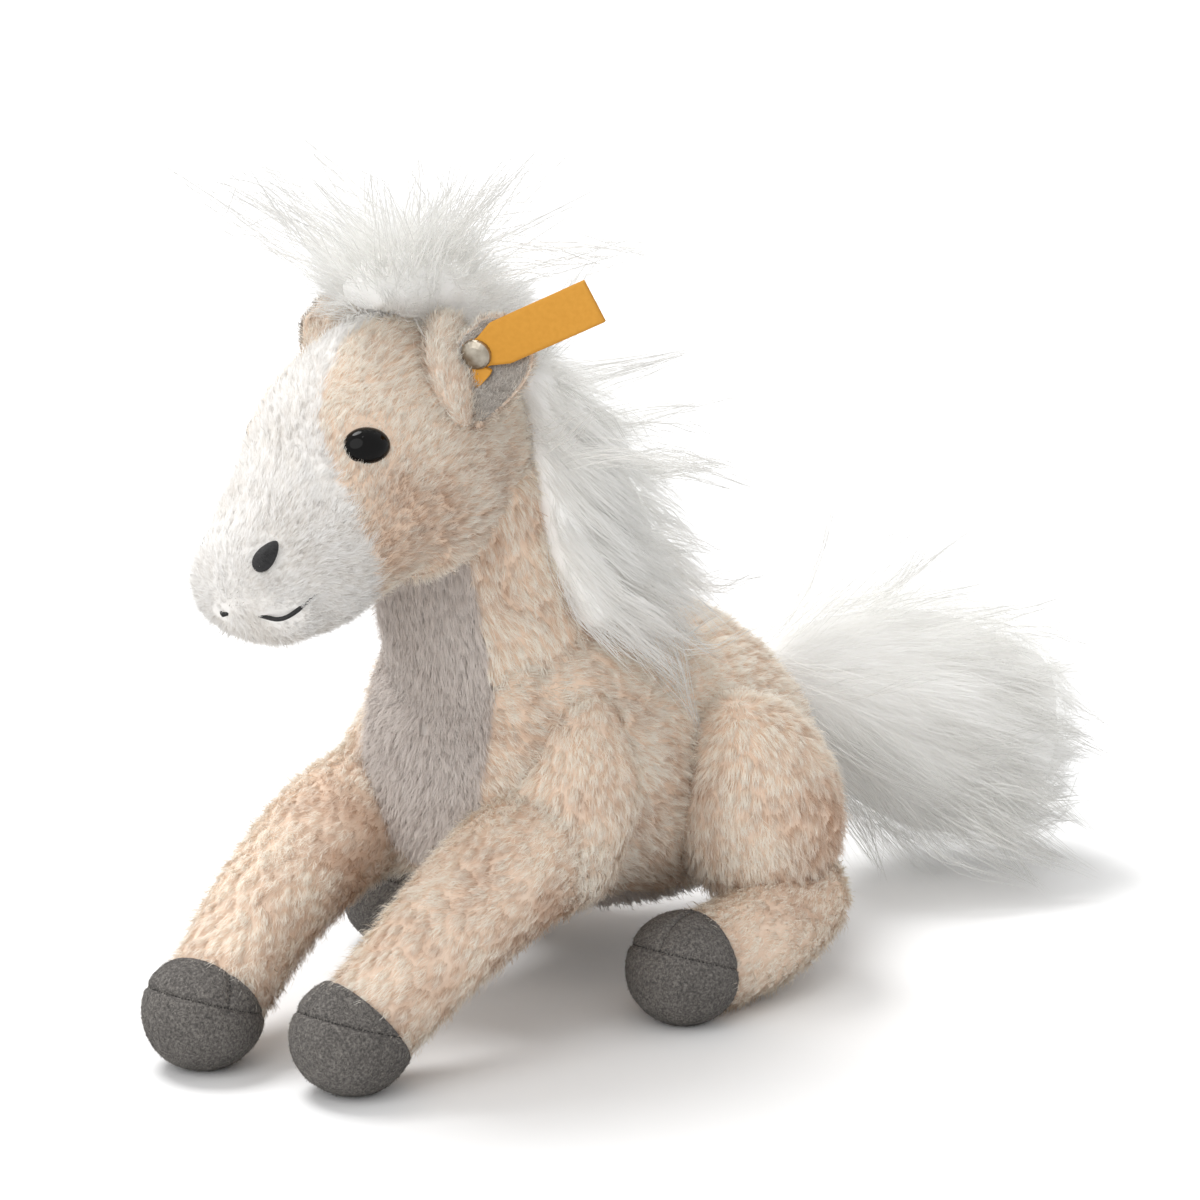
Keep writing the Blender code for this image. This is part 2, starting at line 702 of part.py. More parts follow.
def build_eyes(side):
    """One eye and the washer that locks its post."""
    place = eye_place(side)
    add_node(f"eye_{side}", lathe(eye_profile(), place), "eye_black")
    washer_profile = [(WASHER_RADIUS, -WASHER_DEPTH - WASHER_THICKNESS), (WASHER_RADIUS, -WASHER_DEPTH)]
    hole_radius = EYE_POST_RADIUS + GAP
    washer = lathe(washer_profile, place, SMALL_SIDES)
    hole = lathe([(hole_radius, -EYE_POST_LENGTH), (hole_radius, 0.0)], place, SMALL_SIDES)
    add_node(f"eye_washer_{side}", less(washer, hole), "washer_white")


def nostril(side, extra=0.0):
    """A small oval lens of satin stitch, tilted on the muzzle."""
    point, normal = head_surface(MUZZLE_MIDDLE, NOSTRIL_TOWARD, side)
    radii = (NOSTRIL_HALF_HEIGHT, NOSTRIL_HALF_WIDTH, NOSTRIL_HALF_DEPTH)
    lens = ellipsoid(Vector(), radii, 0.0, extra, SMALL_SIDES, SMALL_SIDES // 2)
    turn = Matrix.Rotation(SIDE_SIGNS[side] * NOSTRIL_TILT, 4, "Z")
    return moved(lens, axis_matrix(point, normal) @ turn)


def mouth_path():
    """The smile: points on the muzzle's surface, rising toward the cheeks."""
    points = []
    for k in range(MOUTH_POINTS):
        share = 2 * k / (MOUTH_POINTS - 1) - 1
        turn = MOUTH_HALF_ANGLE * share
        slope = MOUTH_SLOPE + MOUTH_SMILE * share ** 2
        toward = MUZZLE_MIDDLE + Vector((math.sin(turn), -math.cos(turn), slope))
        points.append(head_surface(MUZZLE_MIDDLE, toward)[0])
    return points


def mouth_thread(extra=0.0):
    """The mouth's thread: a thin round form along the smile."""
    radius = MOUTH_THREAD_RADIUS
    stations = [(*p, radius, radius) for p in mouth_path()]
    return form(stations, radius, radius, extra, across=(0.0, 0.0, 1.0), sides=THREAD_SIDES, per_span=1)


def build_head():
    """Head, white muzzle and blaze, cut to seat on the neck and round what they carry."""
    neck_clear = neck_form(GAP)
    pockets = [eye_pocket(side) for side in SIDE_SIGNS]
    ears = []
    for side in SIDE_SIGNS:
        along, wide, facing = ear_axes(side)
        ears.append(swept(ear_form(side, SWEEP_CLEARANCE), ear_root(side), wide, EAR_FOLD_RANGE))
    inner = head_form(-PANEL_DEPTH)
    groove = combined(head_form(GAP), [("INTERSECT", blaze_prism(GAP)),
                                       ("DIFFERENCE", head_form(-PANEL_DEPTH - GAP))])
    seam_offset = MUZZLE_SEAM_NORMAL.normalized() * GAP
    beyond_seam = beyond(MUZZLE_SEAM_POINT, MUZZLE_SEAM_NORMAL)
    head = less(head_form(), neck_clear, groove, beyond_seam.copy(), *pockets, *ears)
    front = sliced(head_form(), MUZZLE_SEAM_POINT + seam_offset, -MUZZLE_SEAM_NORMAL)
    stitches = [nostril(side, GAP) for side in SIDE_SIGNS] + [mouth_thread(GAP)]
    muzzle = less(front, *stitches)
    blaze = less(panel(head_form(), inner, blaze_prism()), beyond_seam)
    add_node("head", head, "tan_plush", NECK_TOP)
    add_node("muzzle", muzzle, "white_plush")
    add_node("blaze_panel", blaze, "white_plush")
    add_node("mouth_stitch", mouth_thread(), "stitch_black")
    for side in SIDE_SIGNS:
        add_node(f"nostril_{side}", nostril(side), "stitch_black")
        build_eyes(side)


def button_place():
    """The button's seat on the left ear's open face."""
    along, wide, facing = ear_axes("left")
    centre = ear_root("left") + along * EAR_LENGTH * BUTTON_HEIGHT_SHARE
    return axis_matrix(centre, facing, RIBBON_DIRECTION)


def ribbon_floor():
    """How far the ribbon's back lies in front of the ear's middle."""
    return EAR_HALF_THICKNESS + LINING_HALF_THICKNESS + GAP


def build_button():
    """Plain domed button with its post and back disc."""
    place = button_place()
    seat = ribbon_floor() + RIBBON_THICKNESS + GAP
    back = -EAR_HALF_THICKNESS - GAP
    swell_share = 1 - BUTTON_EDGE_SHARE
    dome = []
    for turn in dome_turns():
        height = BUTTON_RISE * (BUTTON_EDGE_SHARE + swell_share * math.sin(turn))
        dome.append((BUTTON_RADIUS * math.cos(turn), seat + height))
    profile = [(BUTTON_POST_RADIUS, back - BUTTON_BACK_THICKNESS), (BUTTON_POST_RADIUS, seat),
               (BUTTON_RADIUS, seat)] + dome + [(BUTTON_POST_RADIUS * DOME_TOP_SHARE, seat + BUTTON_RISE)]
    add_node("ear_button", lathe(profile, place), "button_metal")
    disc_profile = [(BUTTON_BACK_RADIUS, back - BUTTON_BACK_THICKNESS), (BUTTON_BACK_RADIUS, back)]
    disc = lathe(disc_profile, place, SMALL_SIDES)
    add_node("ear_button_back", less(disc, post_hole()), "button_metal")


def post_hole():
    """The hole for the button's post through ear, lining and ribbon."""
    wide = BUTTON_POST_RADIUS + GAP
    reach = EAR_HALF_WIDTH
    return lathe([(wide, -reach), (wide, reach)], button_place(), SMALL_SIDES)


def build_ribbon():
    """Blank folded ribbon held under the button, square at its far end."""
    half = RIBBON_WIDTH / 2
    shoulder = RIBBON_TAIL * RIBBON_POINT_SHARE
    outline = [
        (-RIBBON_TAIL, 0.0),
        (-shoulder, -half),
        (RIBBON_LENGTH, -half),
        (RIBBON_LENGTH, half),
        (-shoulder, half),
    ]
    low = ribbon_floor()
    strip = prism(outline, button_place(), low, low + RIBBON_THICKNESS)
    origin = button_place().translation
    add_node("ribbon_tag", less(strip, post_hole()), "ribbon_yellow", origin)


def build_ears():
    """Both ears with their linings let in."""
    for side in SIDE_SIGNS:
        ear = less(ear_form(side), lining_form(side, GAP))
        lining = lining_form(side)
        if side == "left":
            ear = less(ear, post_hole())
            lining = less(lining, post_hole())
        add_node(f"ear_{side}", ear, "tan_plush", ear_root(side))
        add_node(f"ear_lining_{side}", lining, "lining_grey")


def hoof_pieces(name, centre, radii, forward, slot="hoof_suede"):
    """A rounded hoof: cut flat at its cuff and floor, and along the seam between its two pieces."""
    ball = ellipsoid(centre, radii, 0.0, 0.0, HOOF_SIDES, ROUND_RINGS)
    cuff = centre - forward * (HOOF_CUFF_BACK - GAP)
    ball = sliced(ball, cuff, -forward)
    ball = sliced(ball, FLOOR_POINT, DOWN)
    seam_normal = Matrix.Rotation(HOOF_SEAM_TILT, 3, "X") @ Vector((0.0, 0.0, 1.0))
    seam = centre + seam_normal * HOOF_SEAM_RISE
    add_node(f"{name}_sole", sliced(ball, seam, seam_normal), slot)
    add_node(f"{name}_upper", sliced(ball, seam + seam_normal * GAP, -seam_normal), slot)


def last_step(stations):
    """Where a leg's stations end, and the direction they end in."""
    end = Vector(stations[-1][:3])
    return end, (end - Vector(stations[-2][:3])).normalized()


def build_front_leg(side):
    """A front leg as far as its cuff, and its hoof."""
    sign = SIDE_SIGNS[side]
    end, forward = last_step(forearm_stations(side))
    leg = sliced(forearm_form(side), end - forward * HOOF_CUFF_BACK, forward)
    leg = sliced(leg, FLOOR_POINT, DOWN)
    pivot = Vector((sign * SHOULDER.x, SHOULDER.y, SHOULDER.z))
    add_node(f"front_leg_{side}", leg, "tan_plush", pivot)
    hoof_pieces(f"front_hoof_{side}", end, HOOF_RADII, forward)


def build_hind_leg(side):
    """Thigh, shank and hoof of a hind leg."""
    sign = SIDE_SIGNS[side]
    stations = [(sign * x, y, z, wide, high) for x, y, z, wide, high in SHANK_STATIONS]
    end, forward = last_step(stations)
    shank = sliced(shank_form(side), end - forward * HOOF_CUFF_BACK, forward)
    shank = sliced(shank, FLOOR_POINT, DOWN)
    flat = Vector((sign * (HIP_FLAT + GAP), 0.0, 0.0))
    thigh = sliced(less(thigh_form(side), shank_form(side, GAP)), flat, Vector((-sign, 0.0, 0.0)))
    hip = Vector((sign * HIP.x, HIP.y, HIP.z))
    add_node(f"thigh_{side}", thigh, "tan_plush", hip)
    add_node(f"shank_{side}", shank, "tan_plush")
    hoof_pieces(f"hind_hoof_{side}", end, HOOF_RADII, forward)


def build_hair():
    """Forelock, mane and tail, each the outline of its combed hair."""
    neck_axis = (NECK_TOP - NECK_BASE).normalized()
    turn = (-HEAD_TURN, HEAD_TURN)
    forelock = less(forelock_form(), head_form(GAP))
    ears = []
    for side in SIDE_SIGNS:
        along, wide, facing = ear_axes(side)
        ears.append(swept(ear_form(side, SWEEP_CLEARANCE), ear_root(side), wide, EAR_FOLD_RANGE))
    forelock = less(forelock, *ears)
    heads = swept(head_form(SWEEP_CLEARANCE), NECK_TOP, neck_axis, turn)
    locks = swept(forelock_form(SWEEP_CLEARANCE), NECK_TOP, neck_axis, turn)
    mane = less(mane_form(), neck_form(GAP), torso_form(GAP), heads, locks)
    add_node("forelock", forelock, "long_hair")
    add_node("mane", mane, "long_hair")
    add_node("tail", tail_form(), "long_hair", TAIL_STATIONS[0][:3])


def build():
    """Every piece of the toy."""
    clear_scene()
    build_torso()
    build_head()
    build_ears()
    build_button()
    build_ribbon()
    for side in SIDE_SIGNS:
        build_front_leg(side)
        build_hind_leg(side)
    build_hair()


build()
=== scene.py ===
import itertools
import math

import bpy
import numpy as np
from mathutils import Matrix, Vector


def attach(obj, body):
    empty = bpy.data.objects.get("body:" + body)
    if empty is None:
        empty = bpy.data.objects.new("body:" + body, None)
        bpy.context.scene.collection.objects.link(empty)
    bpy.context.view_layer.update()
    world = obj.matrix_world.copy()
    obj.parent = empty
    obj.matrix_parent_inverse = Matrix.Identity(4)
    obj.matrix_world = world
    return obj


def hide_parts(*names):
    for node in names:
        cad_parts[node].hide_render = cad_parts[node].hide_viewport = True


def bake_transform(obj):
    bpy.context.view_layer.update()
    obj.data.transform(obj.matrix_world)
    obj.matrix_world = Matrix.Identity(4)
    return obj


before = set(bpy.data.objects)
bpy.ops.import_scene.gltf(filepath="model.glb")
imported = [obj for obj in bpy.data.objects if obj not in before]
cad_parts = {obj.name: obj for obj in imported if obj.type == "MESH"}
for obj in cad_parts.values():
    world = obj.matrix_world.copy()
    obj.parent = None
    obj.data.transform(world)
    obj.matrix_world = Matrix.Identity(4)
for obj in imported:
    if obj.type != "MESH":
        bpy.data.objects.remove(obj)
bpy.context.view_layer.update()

MM = 0.001
ACROSS = np.array([1.0, 0.0, 0.0])
UP = np.array([0.0, 0.0, 1.0])
SIDE_SIGNS = {"left": 1.0, "right": -1.0}

# Stuffed forms, in millimetres: centre x, y, z, half width and half height of each section
TORSO_STATIONS = [
    (0.0, -63.5, 69.0, 27.0, 33.0),
    (0.0, -52.0, 66.0, 35.0, 39.0),
    (0.0, -36.0, 59.0, 37.0, 38.5),
    (0.0, -15.0, 53.0, 35.0, 38.0),
    (0.0, 8.0, 49.5, 34.5, 38.5),
    (0.0, 27.0, 45.0, 33.8, 33.4),
    (0.0, 39.0, 43.0, 28.0, 26.4),
]
NECK_STATIONS = [(0.0, -44.0, 76.0, 27.5, 27.5), (0.0, -62.0, 128.0, 24.0, 24.0)]
HEAD_MIDDLE = 1.2
HEAD_STATIONS = [
    (HEAD_MIDDLE, -66.0, 140.0, 22.0, 25.0),
    (HEAD_MIDDLE, -82.0, 138.0, 27.0, 31.0),
    (HEAD_MIDDLE, -98.0, 133.0, 26.8, 29.0),
    (HEAD_MIDDLE, -109.0, 125.0, 23.2, 23.0),
    (HEAD_MIDDLE, -119.0, 118.0, 20.9, 20.0),
    (HEAD_MIDDLE, -127.0, 114.0, 17.8, 16.3),
]
HEAD_NARROWING_SHARE = 0.30
FOREARM_STATIONS = [
    (26.5, -59.0, 45.0, 17.0, 17.0),
    (26.0, -74.0, 41.0, 16.5, 16.0),
    (23.5, -93.0, 30.0, 14.8, 14.5),
    (20.5, -107.0, 19.5, 13.6, 13.4),
    (18.5, -116.0, 12.8, 13.0, 13.0),
]
SHANK_STATIONS = [
    (47.0, 10.0, 20.5, 12.0, 13.0),
    (48.0, -4.0, 16.0, 13.2, 13.8),
    (46.5, -20.0, 13.3, 13.4, 13.6),
    (45.0, -33.0, 12.8, 13.0, 13.0),
]
SHOULDER_SPREAD = {"left": 1.0, "right": 0.82}
SHOULDER_STATIONS = [
    (25.0, -47.0, 72.0, 11.0, 12.0),
    (28.5, -52.0, 58.0, 15.5, 16.0),
    (27.0, -59.5, 45.0, 17.3, 17.3),
]
THIGH_CENTRE = np.array([37.0, 3.0, 42.5])
THIGH_RADII = (22.3, 21.6, 29.6)
THIGH_TILT = math.radians(18)
HOOF_RADII = (13.6, 14.0, 13.3)
TAIL_STATIONS = [
    (0.0, 51.0, 60.0, 6.0, 6.0),
    (3.0, 66.0, 56.0, 12.5, 17.0),
    (10.5, 86.0, 46.5, 20.0, 28.5),
    (20.0, 104.5, 37.5, 23.5, 32.0),
    (30.0, 121.0, 31.5, 21.5, 28.5),
]
TAIL_TIPS = [
    (38.0, 121.0, 62.0),
    (49.0, 125.0, 47.0),
    (58.0, 121.0, 24.0),
    (67.0, 110.0, 8.0),
    (56.0, 92.0, 3.0),
]
MANE_STATIONS = [
    (0.0, -39.0, 143.0, 10.0, 10.0),
    (1.0, -30.0, 127.0, 13.5, 13.0),
    (3.0, -22.0, 110.0, 15.5, 13.5),
    (6.0, -12.0, 96.0, 14.5, 9.5),
]
NECK_HAIR_STATIONS = [
    (10.0, -46.0, 146.0, 10.0, 6.0),
    (15.0, -46.5, 132.0, 14.0, 7.0),
    (17.5, -43.0, 115.0, 17.0, 7.5),
    (20.5, -37.0, 100.0, 16.0, 7.0),
]
NECK_HAIR_ACROSS = np.array([-0.64, 0.77, 0.0])
MANE_SHIFT = [(3.0, 0, 0, 0, 0), (5.0, 1.0, 0, 1.0, 0), (6.0, 1.0, 0, 1.5, 0), (5.0, 0, 0, 0.5, 0)]
FORELOCK_SHIFT = [
    (0, 2.0, -8.0, 0, 0),
    (0, 2.0, -8.0, 0, 0),
    (0, 3.0, -7.0, 0, 0),
    (0, 6.0, -6.0, -3.0, -2.0),
]
FORELOCK_REACH = 68.0
FORELOCK_CEILING = 205.0
TAIL_REACH = 156.0
FORELOCK_STATIONS = [
    (0.0, -56.0, 166.0, 15.0, 11.0),
    (0.0, -67.0, 174.0, 20.0, 15.0),
    (0.0, -81.0, 178.5, 21.5, 17.0),
    (0.0, -95.0, 178.0, 17.0, 13.0),
]
POLL_STATIONS = [
    (0.5, -62.0, 165.0, 11.0, 6.0),
    (1.0, -54.0, 158.5, 12.0, 6.5),
    (1.5, -47.5, 149.0, 11.5, 6.5),
]
FRONT_REACH = {"left": 0.0, "right": 9.5}
SKIN_INSET = 2.1
LUMP_SIZE = 14.0
SKIN_FLOOR = 0.05
NEAR_POLE = 87.0
POINTS_AT_ONCE = 20000
MOST_STRANDS = 64000

# Ears, in millimetres and directions, on the left side
EAR_ROOT = np.array([18.5, -78.0, 155.5])
EAR_DIRECTION = np.array([0.66, 0.12, 0.74])
EAR_FACING = np.array([0.62, -0.76, 0.10])
EAR_LENGTH = 17.5
EAR_SHARES = [(0.0, 0.16), (0.22, 0.58), (0.50, 0.94), (0.76, 1.0), (0.94, 0.66)]
EAR_HALF_WIDTH = 8.4
EAR_HALF_THICKNESS = 2.2
EAR_CUP = 3.2
LEAF_ROOT = np.array([24.2, -79.6, 145.2])
LEAF_TIP = np.array([26.4, -74.4, 165.2])
LEAF_LENGTH = np.linalg.norm(LEAF_TIP - LEAF_ROOT)
LEAF_FACINGS = {
    "left": np.array([0.60, -0.78, 0.12]),
    "right": np.array([-0.93, -0.34, 0.12]),
}
RIM_SHARE = 0.84
LINING_HALF_THICKNESS = 0.8
EAR_FOLD_STATIONS = [
    (22.6, -83.8, 145.5, 3.6, 4.5),
    (21.3, -84.4, 151.5, 4.8, 6.0),
    (18.4, -83.8, 158.5, 5.0, 6.2),
    (15.6, -80.5, 165.0, 4.4, 5.0),
]
FOLD_INSET = 1.2
BUTTON_SHARE = 0.42
RIBBON_DIRECTION = np.array([0.676, 0.567, 0.470])
RIBBON_WIDTH = 10.0
RIBBON_LENGTH = 30.0
RIBBON_TAIL = 7.5
RIBBON_LIFT = 4.2
RIBBON_TAIL_RISE = 2.4
RIBBON_THICKNESS = 0.22
RIBBON_LAYERS = (0.35, -0.25)
RIBBON_SWING = 57.0
RIBBON_TAPER = [(-RIBBON_TAIL, 0.05), (-4.2, 0.62), (-1.6, 0.80), (1.2, 0.64), (6.0, 1.0)]

# Hooves, in millimetres and shares of the radii
HOOF_SEAM_RISE = 2.5
HOOF_SEAM_TILT = math.radians(-22)
HOOF_CUFF_BACK = 4.5
CUFF_OVERLAP = 0.6
HOOF_BACK_FLATTENING = 0.92
HOOF_SWELL = 0.02
HOOF_ROWS = 11
LID_SHARES = np.array([0.6, 0.05])
SEAM_PINCH = 0.045
STITCH_SIZE = 0.20
TOE_SEAM_DIRECTIONS = {
    "front_left": (-0.26, -0.86),
    "front_right": (0.84, -0.38),
    "hind_left": (0.10, -1.0),
    "hind_right": (-0.10, -1.0),
}

# Face, in millimetres, degrees and directions
MUZZLE_SEAM_POINT = np.array([0.0, -113.5, 121.0])
MUZZLE_SEAM_NORMAL = np.array([0.0, -0.910, -0.415])
BLAZE_HEIGHTS = [110.0, 120.0, 132.0, 140.5, 146.5, 152.3, 159.7, 165.0]
BLAZE_EDGES = [24.0, 24.4, 19.5, 15.4, 12.0, 10.0, 7.1, 3.6]
BLAZE_FLOOR = 112.0
BLAZE_LEAST_EDGE = 7.0
BLAZE_BACK = -84.0
BLAZE_LOW_BACK = -111.0
BLAZE_BACK_LEVEL = 128.0
BLAZE_BACK_FADE = 6.0
# Painted light: the head's pile is tinted paler upward from the crown's level, over the fade
CROWN_LEVEL = 140.0
CROWN_FADE = 16.0
CROWN_PAINTED_LIGHT = 0.30
EYE_SEAT = np.array([19.2, -109.1, 143.6])
EYE_FACING = np.array([0.77, -0.45, 0.45])
EYE_RADIUS = 5.2
EYE_HEIGHT_SHARE = 0.78
EYE_RISE = 3.6
EYE_BACK = 1.2
EYE_SINK = {"left": 2.3, "right": 3.6}
EYE_CLEAR_RADIUS = 3.7
MUZZLE_MIDDLE = np.array([HEAD_MIDDLE, -119.0, 118.0])
MOUTH_POINTS = 31
MOUTH_TURN = 71.0
MOUTH_SLOPE = -0.66
MOUTH_CURL = 0.36
MOUTH_RADIUS = 0.5
MOUTH_DEPTH = 2.6
MOUTH_LIFT = 1.9
MOUTH_GAPS = (13, 23, 24, 25, 26)
MOUTH_CLEAR_RADIUS = 0.7
NOSTRIL_SEATS = {
    "left": np.array([11.6, -132.8, 122.1]),
    "right": np.array([-8.8, -131.0, 121.8]),
}
NOSTRIL_FACING = np.array([0.65, -0.62, 0.44])
NOSTRIL_TILT = -38.0
NOSTRIL_HALF_LENGTH = 3.8
NOSTRIL_HALF_WIDTH = 2.05
NOSTRIL_POINTING = 0.26
NOSTRIL_RISE = 0.6
NOSTRIL_DEPTH = 1.2
NOSTRIL_CLEAR_RADIUS = 2.5
THREAD_RISE = 0.10
THREAD_PITCH = 0.42
BARE_SHARE = 0.85

# Where the mouth's thread comes up: amount, place from -1 to 1 along the line, and reach
MOUTH_SHOWN = [(1.0, 0.66, 0.15), (0.75, -0.08, 0.05)]

# Bib and belly, in millimetres
SEAM_WANDER = 0.8
CHEST_HALF_WIDTH = 20.0
CHEST_MIDDLE = -3.2
CHEST_SHOULDER = 52.0
CHEST_POINT = 25.0
CHEST_BACK = -50.0
CHEST_BACK_LEVEL = 85.0
CHEST_BACK_SLOPE = 0.35
BELLY_HALF_WIDTH = 18.0
BELLY_TOP = 30.0
BELLY_FRONT = -42.0
BELLY_BACK = 40.0

# Strands of plush: lengths, rises and shares of the pile's length, in the order of their use
WANDER_SIZE = 11.0
WANDER_SHARE = 0.55
LENGTH_LEAST = 0.72
LENGTH_RANDOM = 0.36
LENGTH_TUFT = 0.14
SHORTEST_STRAND = 0.6
UPRIGHT_RISE = 0.35
UPRIGHT_SHARE = 0.10
RISE_SPAN = (0.08, 0.95)
ROOT_DEPTH = 0.3
ROOT_RISE = 0.12
PILE_FLOOR = 0.15
PILE_LIFT = 0.42
TUFT_ROUNDING = 0.16
STRAND_TAPER = np.array([1.0, 0.82, 0.0])

# Rise, nap and closing of a strand's middle and of its tip
STRAND_SHARES = [(0.84, 0.36, 0.45), (1.0, 0.86, 1.0)]

# Tint of a strand from 0, dark, to 1, pale, with the amount, size and seed of each noise
TINT_BASE = 0.80
TINT_NOISES = [(0.36, 12.0, 21), (0.32, 4.2, 22)]
TINT_TUFT = 0.20
# The gaps between tufts are tinted darker: partly the roots' own colour, partly painted shade
TINT_GAP_ROOTS_AND_SHADE = 0.34
TINT_STRAY = 0.13
# Painted light: pile that faces up is tinted paler by this amount
TINT_PAINTED_TOP_LIGHT = 0.22

# Long hair: points to a strand, counts of locks, lowest height, upward shading and widths to the tip
HAIR_STEPS = 6
FORELOCK_LOCKS = 40
MANE_LOCKS = 40
TAIL_LOCKS = 60
TAIL_END_LOCKS = 34
HAIR_FLOOR = 0.3
HAIR_LIFT = 0.60
HAIR_TAPER = np.array([0.8, 1.0, 0.95, 0.78, 0.52, 0.0])
LOCK_TAPER = np.array([0.8, 1.0, 1.0, 0.95, 0.75, 0.0])

# Textures: the span of places used, half the strip that a strand takes, and the ramps' three places
TEXTURE_SPAN = (0.02, 0.98)
TEXTURE_STEP = 0.01
PILE_PLACES = (0.0, 0.45, 1.0)
BUMP_DEPTH = 0.3 * MM

# Camera in metres and degrees, and lights: name, direction, strength and size
VIEW_AZIMUTH = 40.0
VIEW_ELEVATION = 13.0
VIEW_DISTANCE = 0.9
VIEW_TARGET = (0.0, -0.010, 0.089)
VIEW_LENS = 113.4
LIGHTS = [
    ("key_light", (-0.45, -0.02, 1.0), 1.80, 26),
    ("front_light", (0.20, -1.0, 0.60), 1.10, 60),
    ("catch_light", (0.24, -0.23, 0.95), 0.05, 2.5),
]


# Arrays

def unit(v):
    """Vectors scaled to length one along the last axis."""
    return v / np.maximum(np.linalg.norm(v, axis=-1, keepdims=True), 1e-9)


def dots(a, b):
    """Dot products along the last axis, kept as a column."""
    return (a * b).sum(axis=-1, keepdims=True)


def flattened(v, normal):
    """Each vector with its part along a normal taken out, scaled to length one."""
    return unit(v - normal * dots(v, normal))


def rows_of(chosen, *fields):
    """The chosen rows of several arrays."""
    return [field[chosen] for field in fields]


def placed(origin, *terms):
    """An origin plus each field of numbers times its direction."""
    for amount, direction in terms:
        origin = origin + amount[..., None] * direction
    return origin


def angles(sides):
    """The angles of a full turn, one for each side."""
    return 2 * math.pi * np.arange(sides) / sides


def mirrored(stations, side, reach=0.0):
    """Stations of one side's limb: x changes sign, and the reach is added steadily toward the hoof."""
    rows = np.array(stations, float)
    share = (rows[0, 1] - rows[:, 1]) / (rows[0, 1] - rows[-1, 1])
    rows[:, 0] *= SIDE_SIGNS[side]
    rows[:, 1] -= reach * share
    return rows


def spline(rows, per_span):
    """Rows of a Catmull-Rom curve: a cubic between each two rows with the neighbours' chord as slope."""
    rows = np.asarray(rows, float)
    p = np.vstack([2 * rows[0] - rows[1], rows, 2 * rows[-1] - rows[-2]])
    t = (np.arange(per_span) / per_span)[:, None, None]
    a, b, c, d = p[:-3], p[1:-2], p[2:-1], p[3:]
    curve = 0.5 * (2 * b + (c - a) * t + (2 * a - 5 * b + 4 * c - d) * t ** 2
                   + (3 * b - a - 3 * c + d) * t ** 3)
    return np.vstack([curve.transpose(1, 0, 2).reshape(-1, rows.shape[1]), rows[-1:]])


def lattice(cells, seed):
    """One number from 0 to 1 for each whole-number cell: its coordinates multiplied, mixed and shifted."""
    c = cells.astype(np.int64)
    h = (c[..., 0] * 73856093) ^ (c[..., 1] * 19349663) ^ (c[..., 2] * 83492791) ^ (seed * 40503)
    h = (h & 0xFFFFFFFF).astype(np.uint64)
    for shift, factor in ((16, 0x7FEB352D), (15, 0x846CA68B)):
        h = ((h ^ (h >> np.uint64(shift))) * np.uint64(factor)) & np.uint64(0xFFFFFFFF)
    return (h ^ (h >> np.uint64(16))).astype(float) / 0xFFFFFFFF


def lattice_vectors(cells, seed):
    """Three numbers from 0 to 1 for each cell."""
    return np.stack([lattice(cells, seed + k) for k in (1, 2, 3)], axis=-1)


def soft_noise(points, size, seed):
    """Smooth noise from -1 to 1: corner values of a lattice of the given size, blended by smoothstep."""
    q = points / size
    base = np.floor(q)
    f = q - base
    f = f * f * (3 - 2 * f)
    total = np.zeros(q.shape[:-1])
    for corner in itertools.product((0, 1), repeat=3):
        weight = np.prod(np.where(np.array(corner) == 1, f, 1 - f), axis=-1)
        total += weight * lattice(base + np.array(corner), seed)
    return 2 * total - 1


def tufts(points, size, seed):
    """Centre and value of each point's nearest tuft, among jittered lattice points, one to a cell."""
    base = np.floor(points / size)
    best = np.full(len(points), np.inf)
    centre = np.zeros_like(points)
    value = np.zeros(len(points))
    for corner in itertools.product((-1, 0, 1), repeat=3):
        cell = base + np.array(corner)
        where = (cell + lattice_vectors(cell, seed)) * size
        distance = ((points - where) ** 2).sum(axis=-1)
        closer = distance < best
        best[closer] = distance[closer]
        centre[closer] = where[closer]
        value[closer] = lattice(cell, seed + 4)[closer]
    return centre, value


# Forms

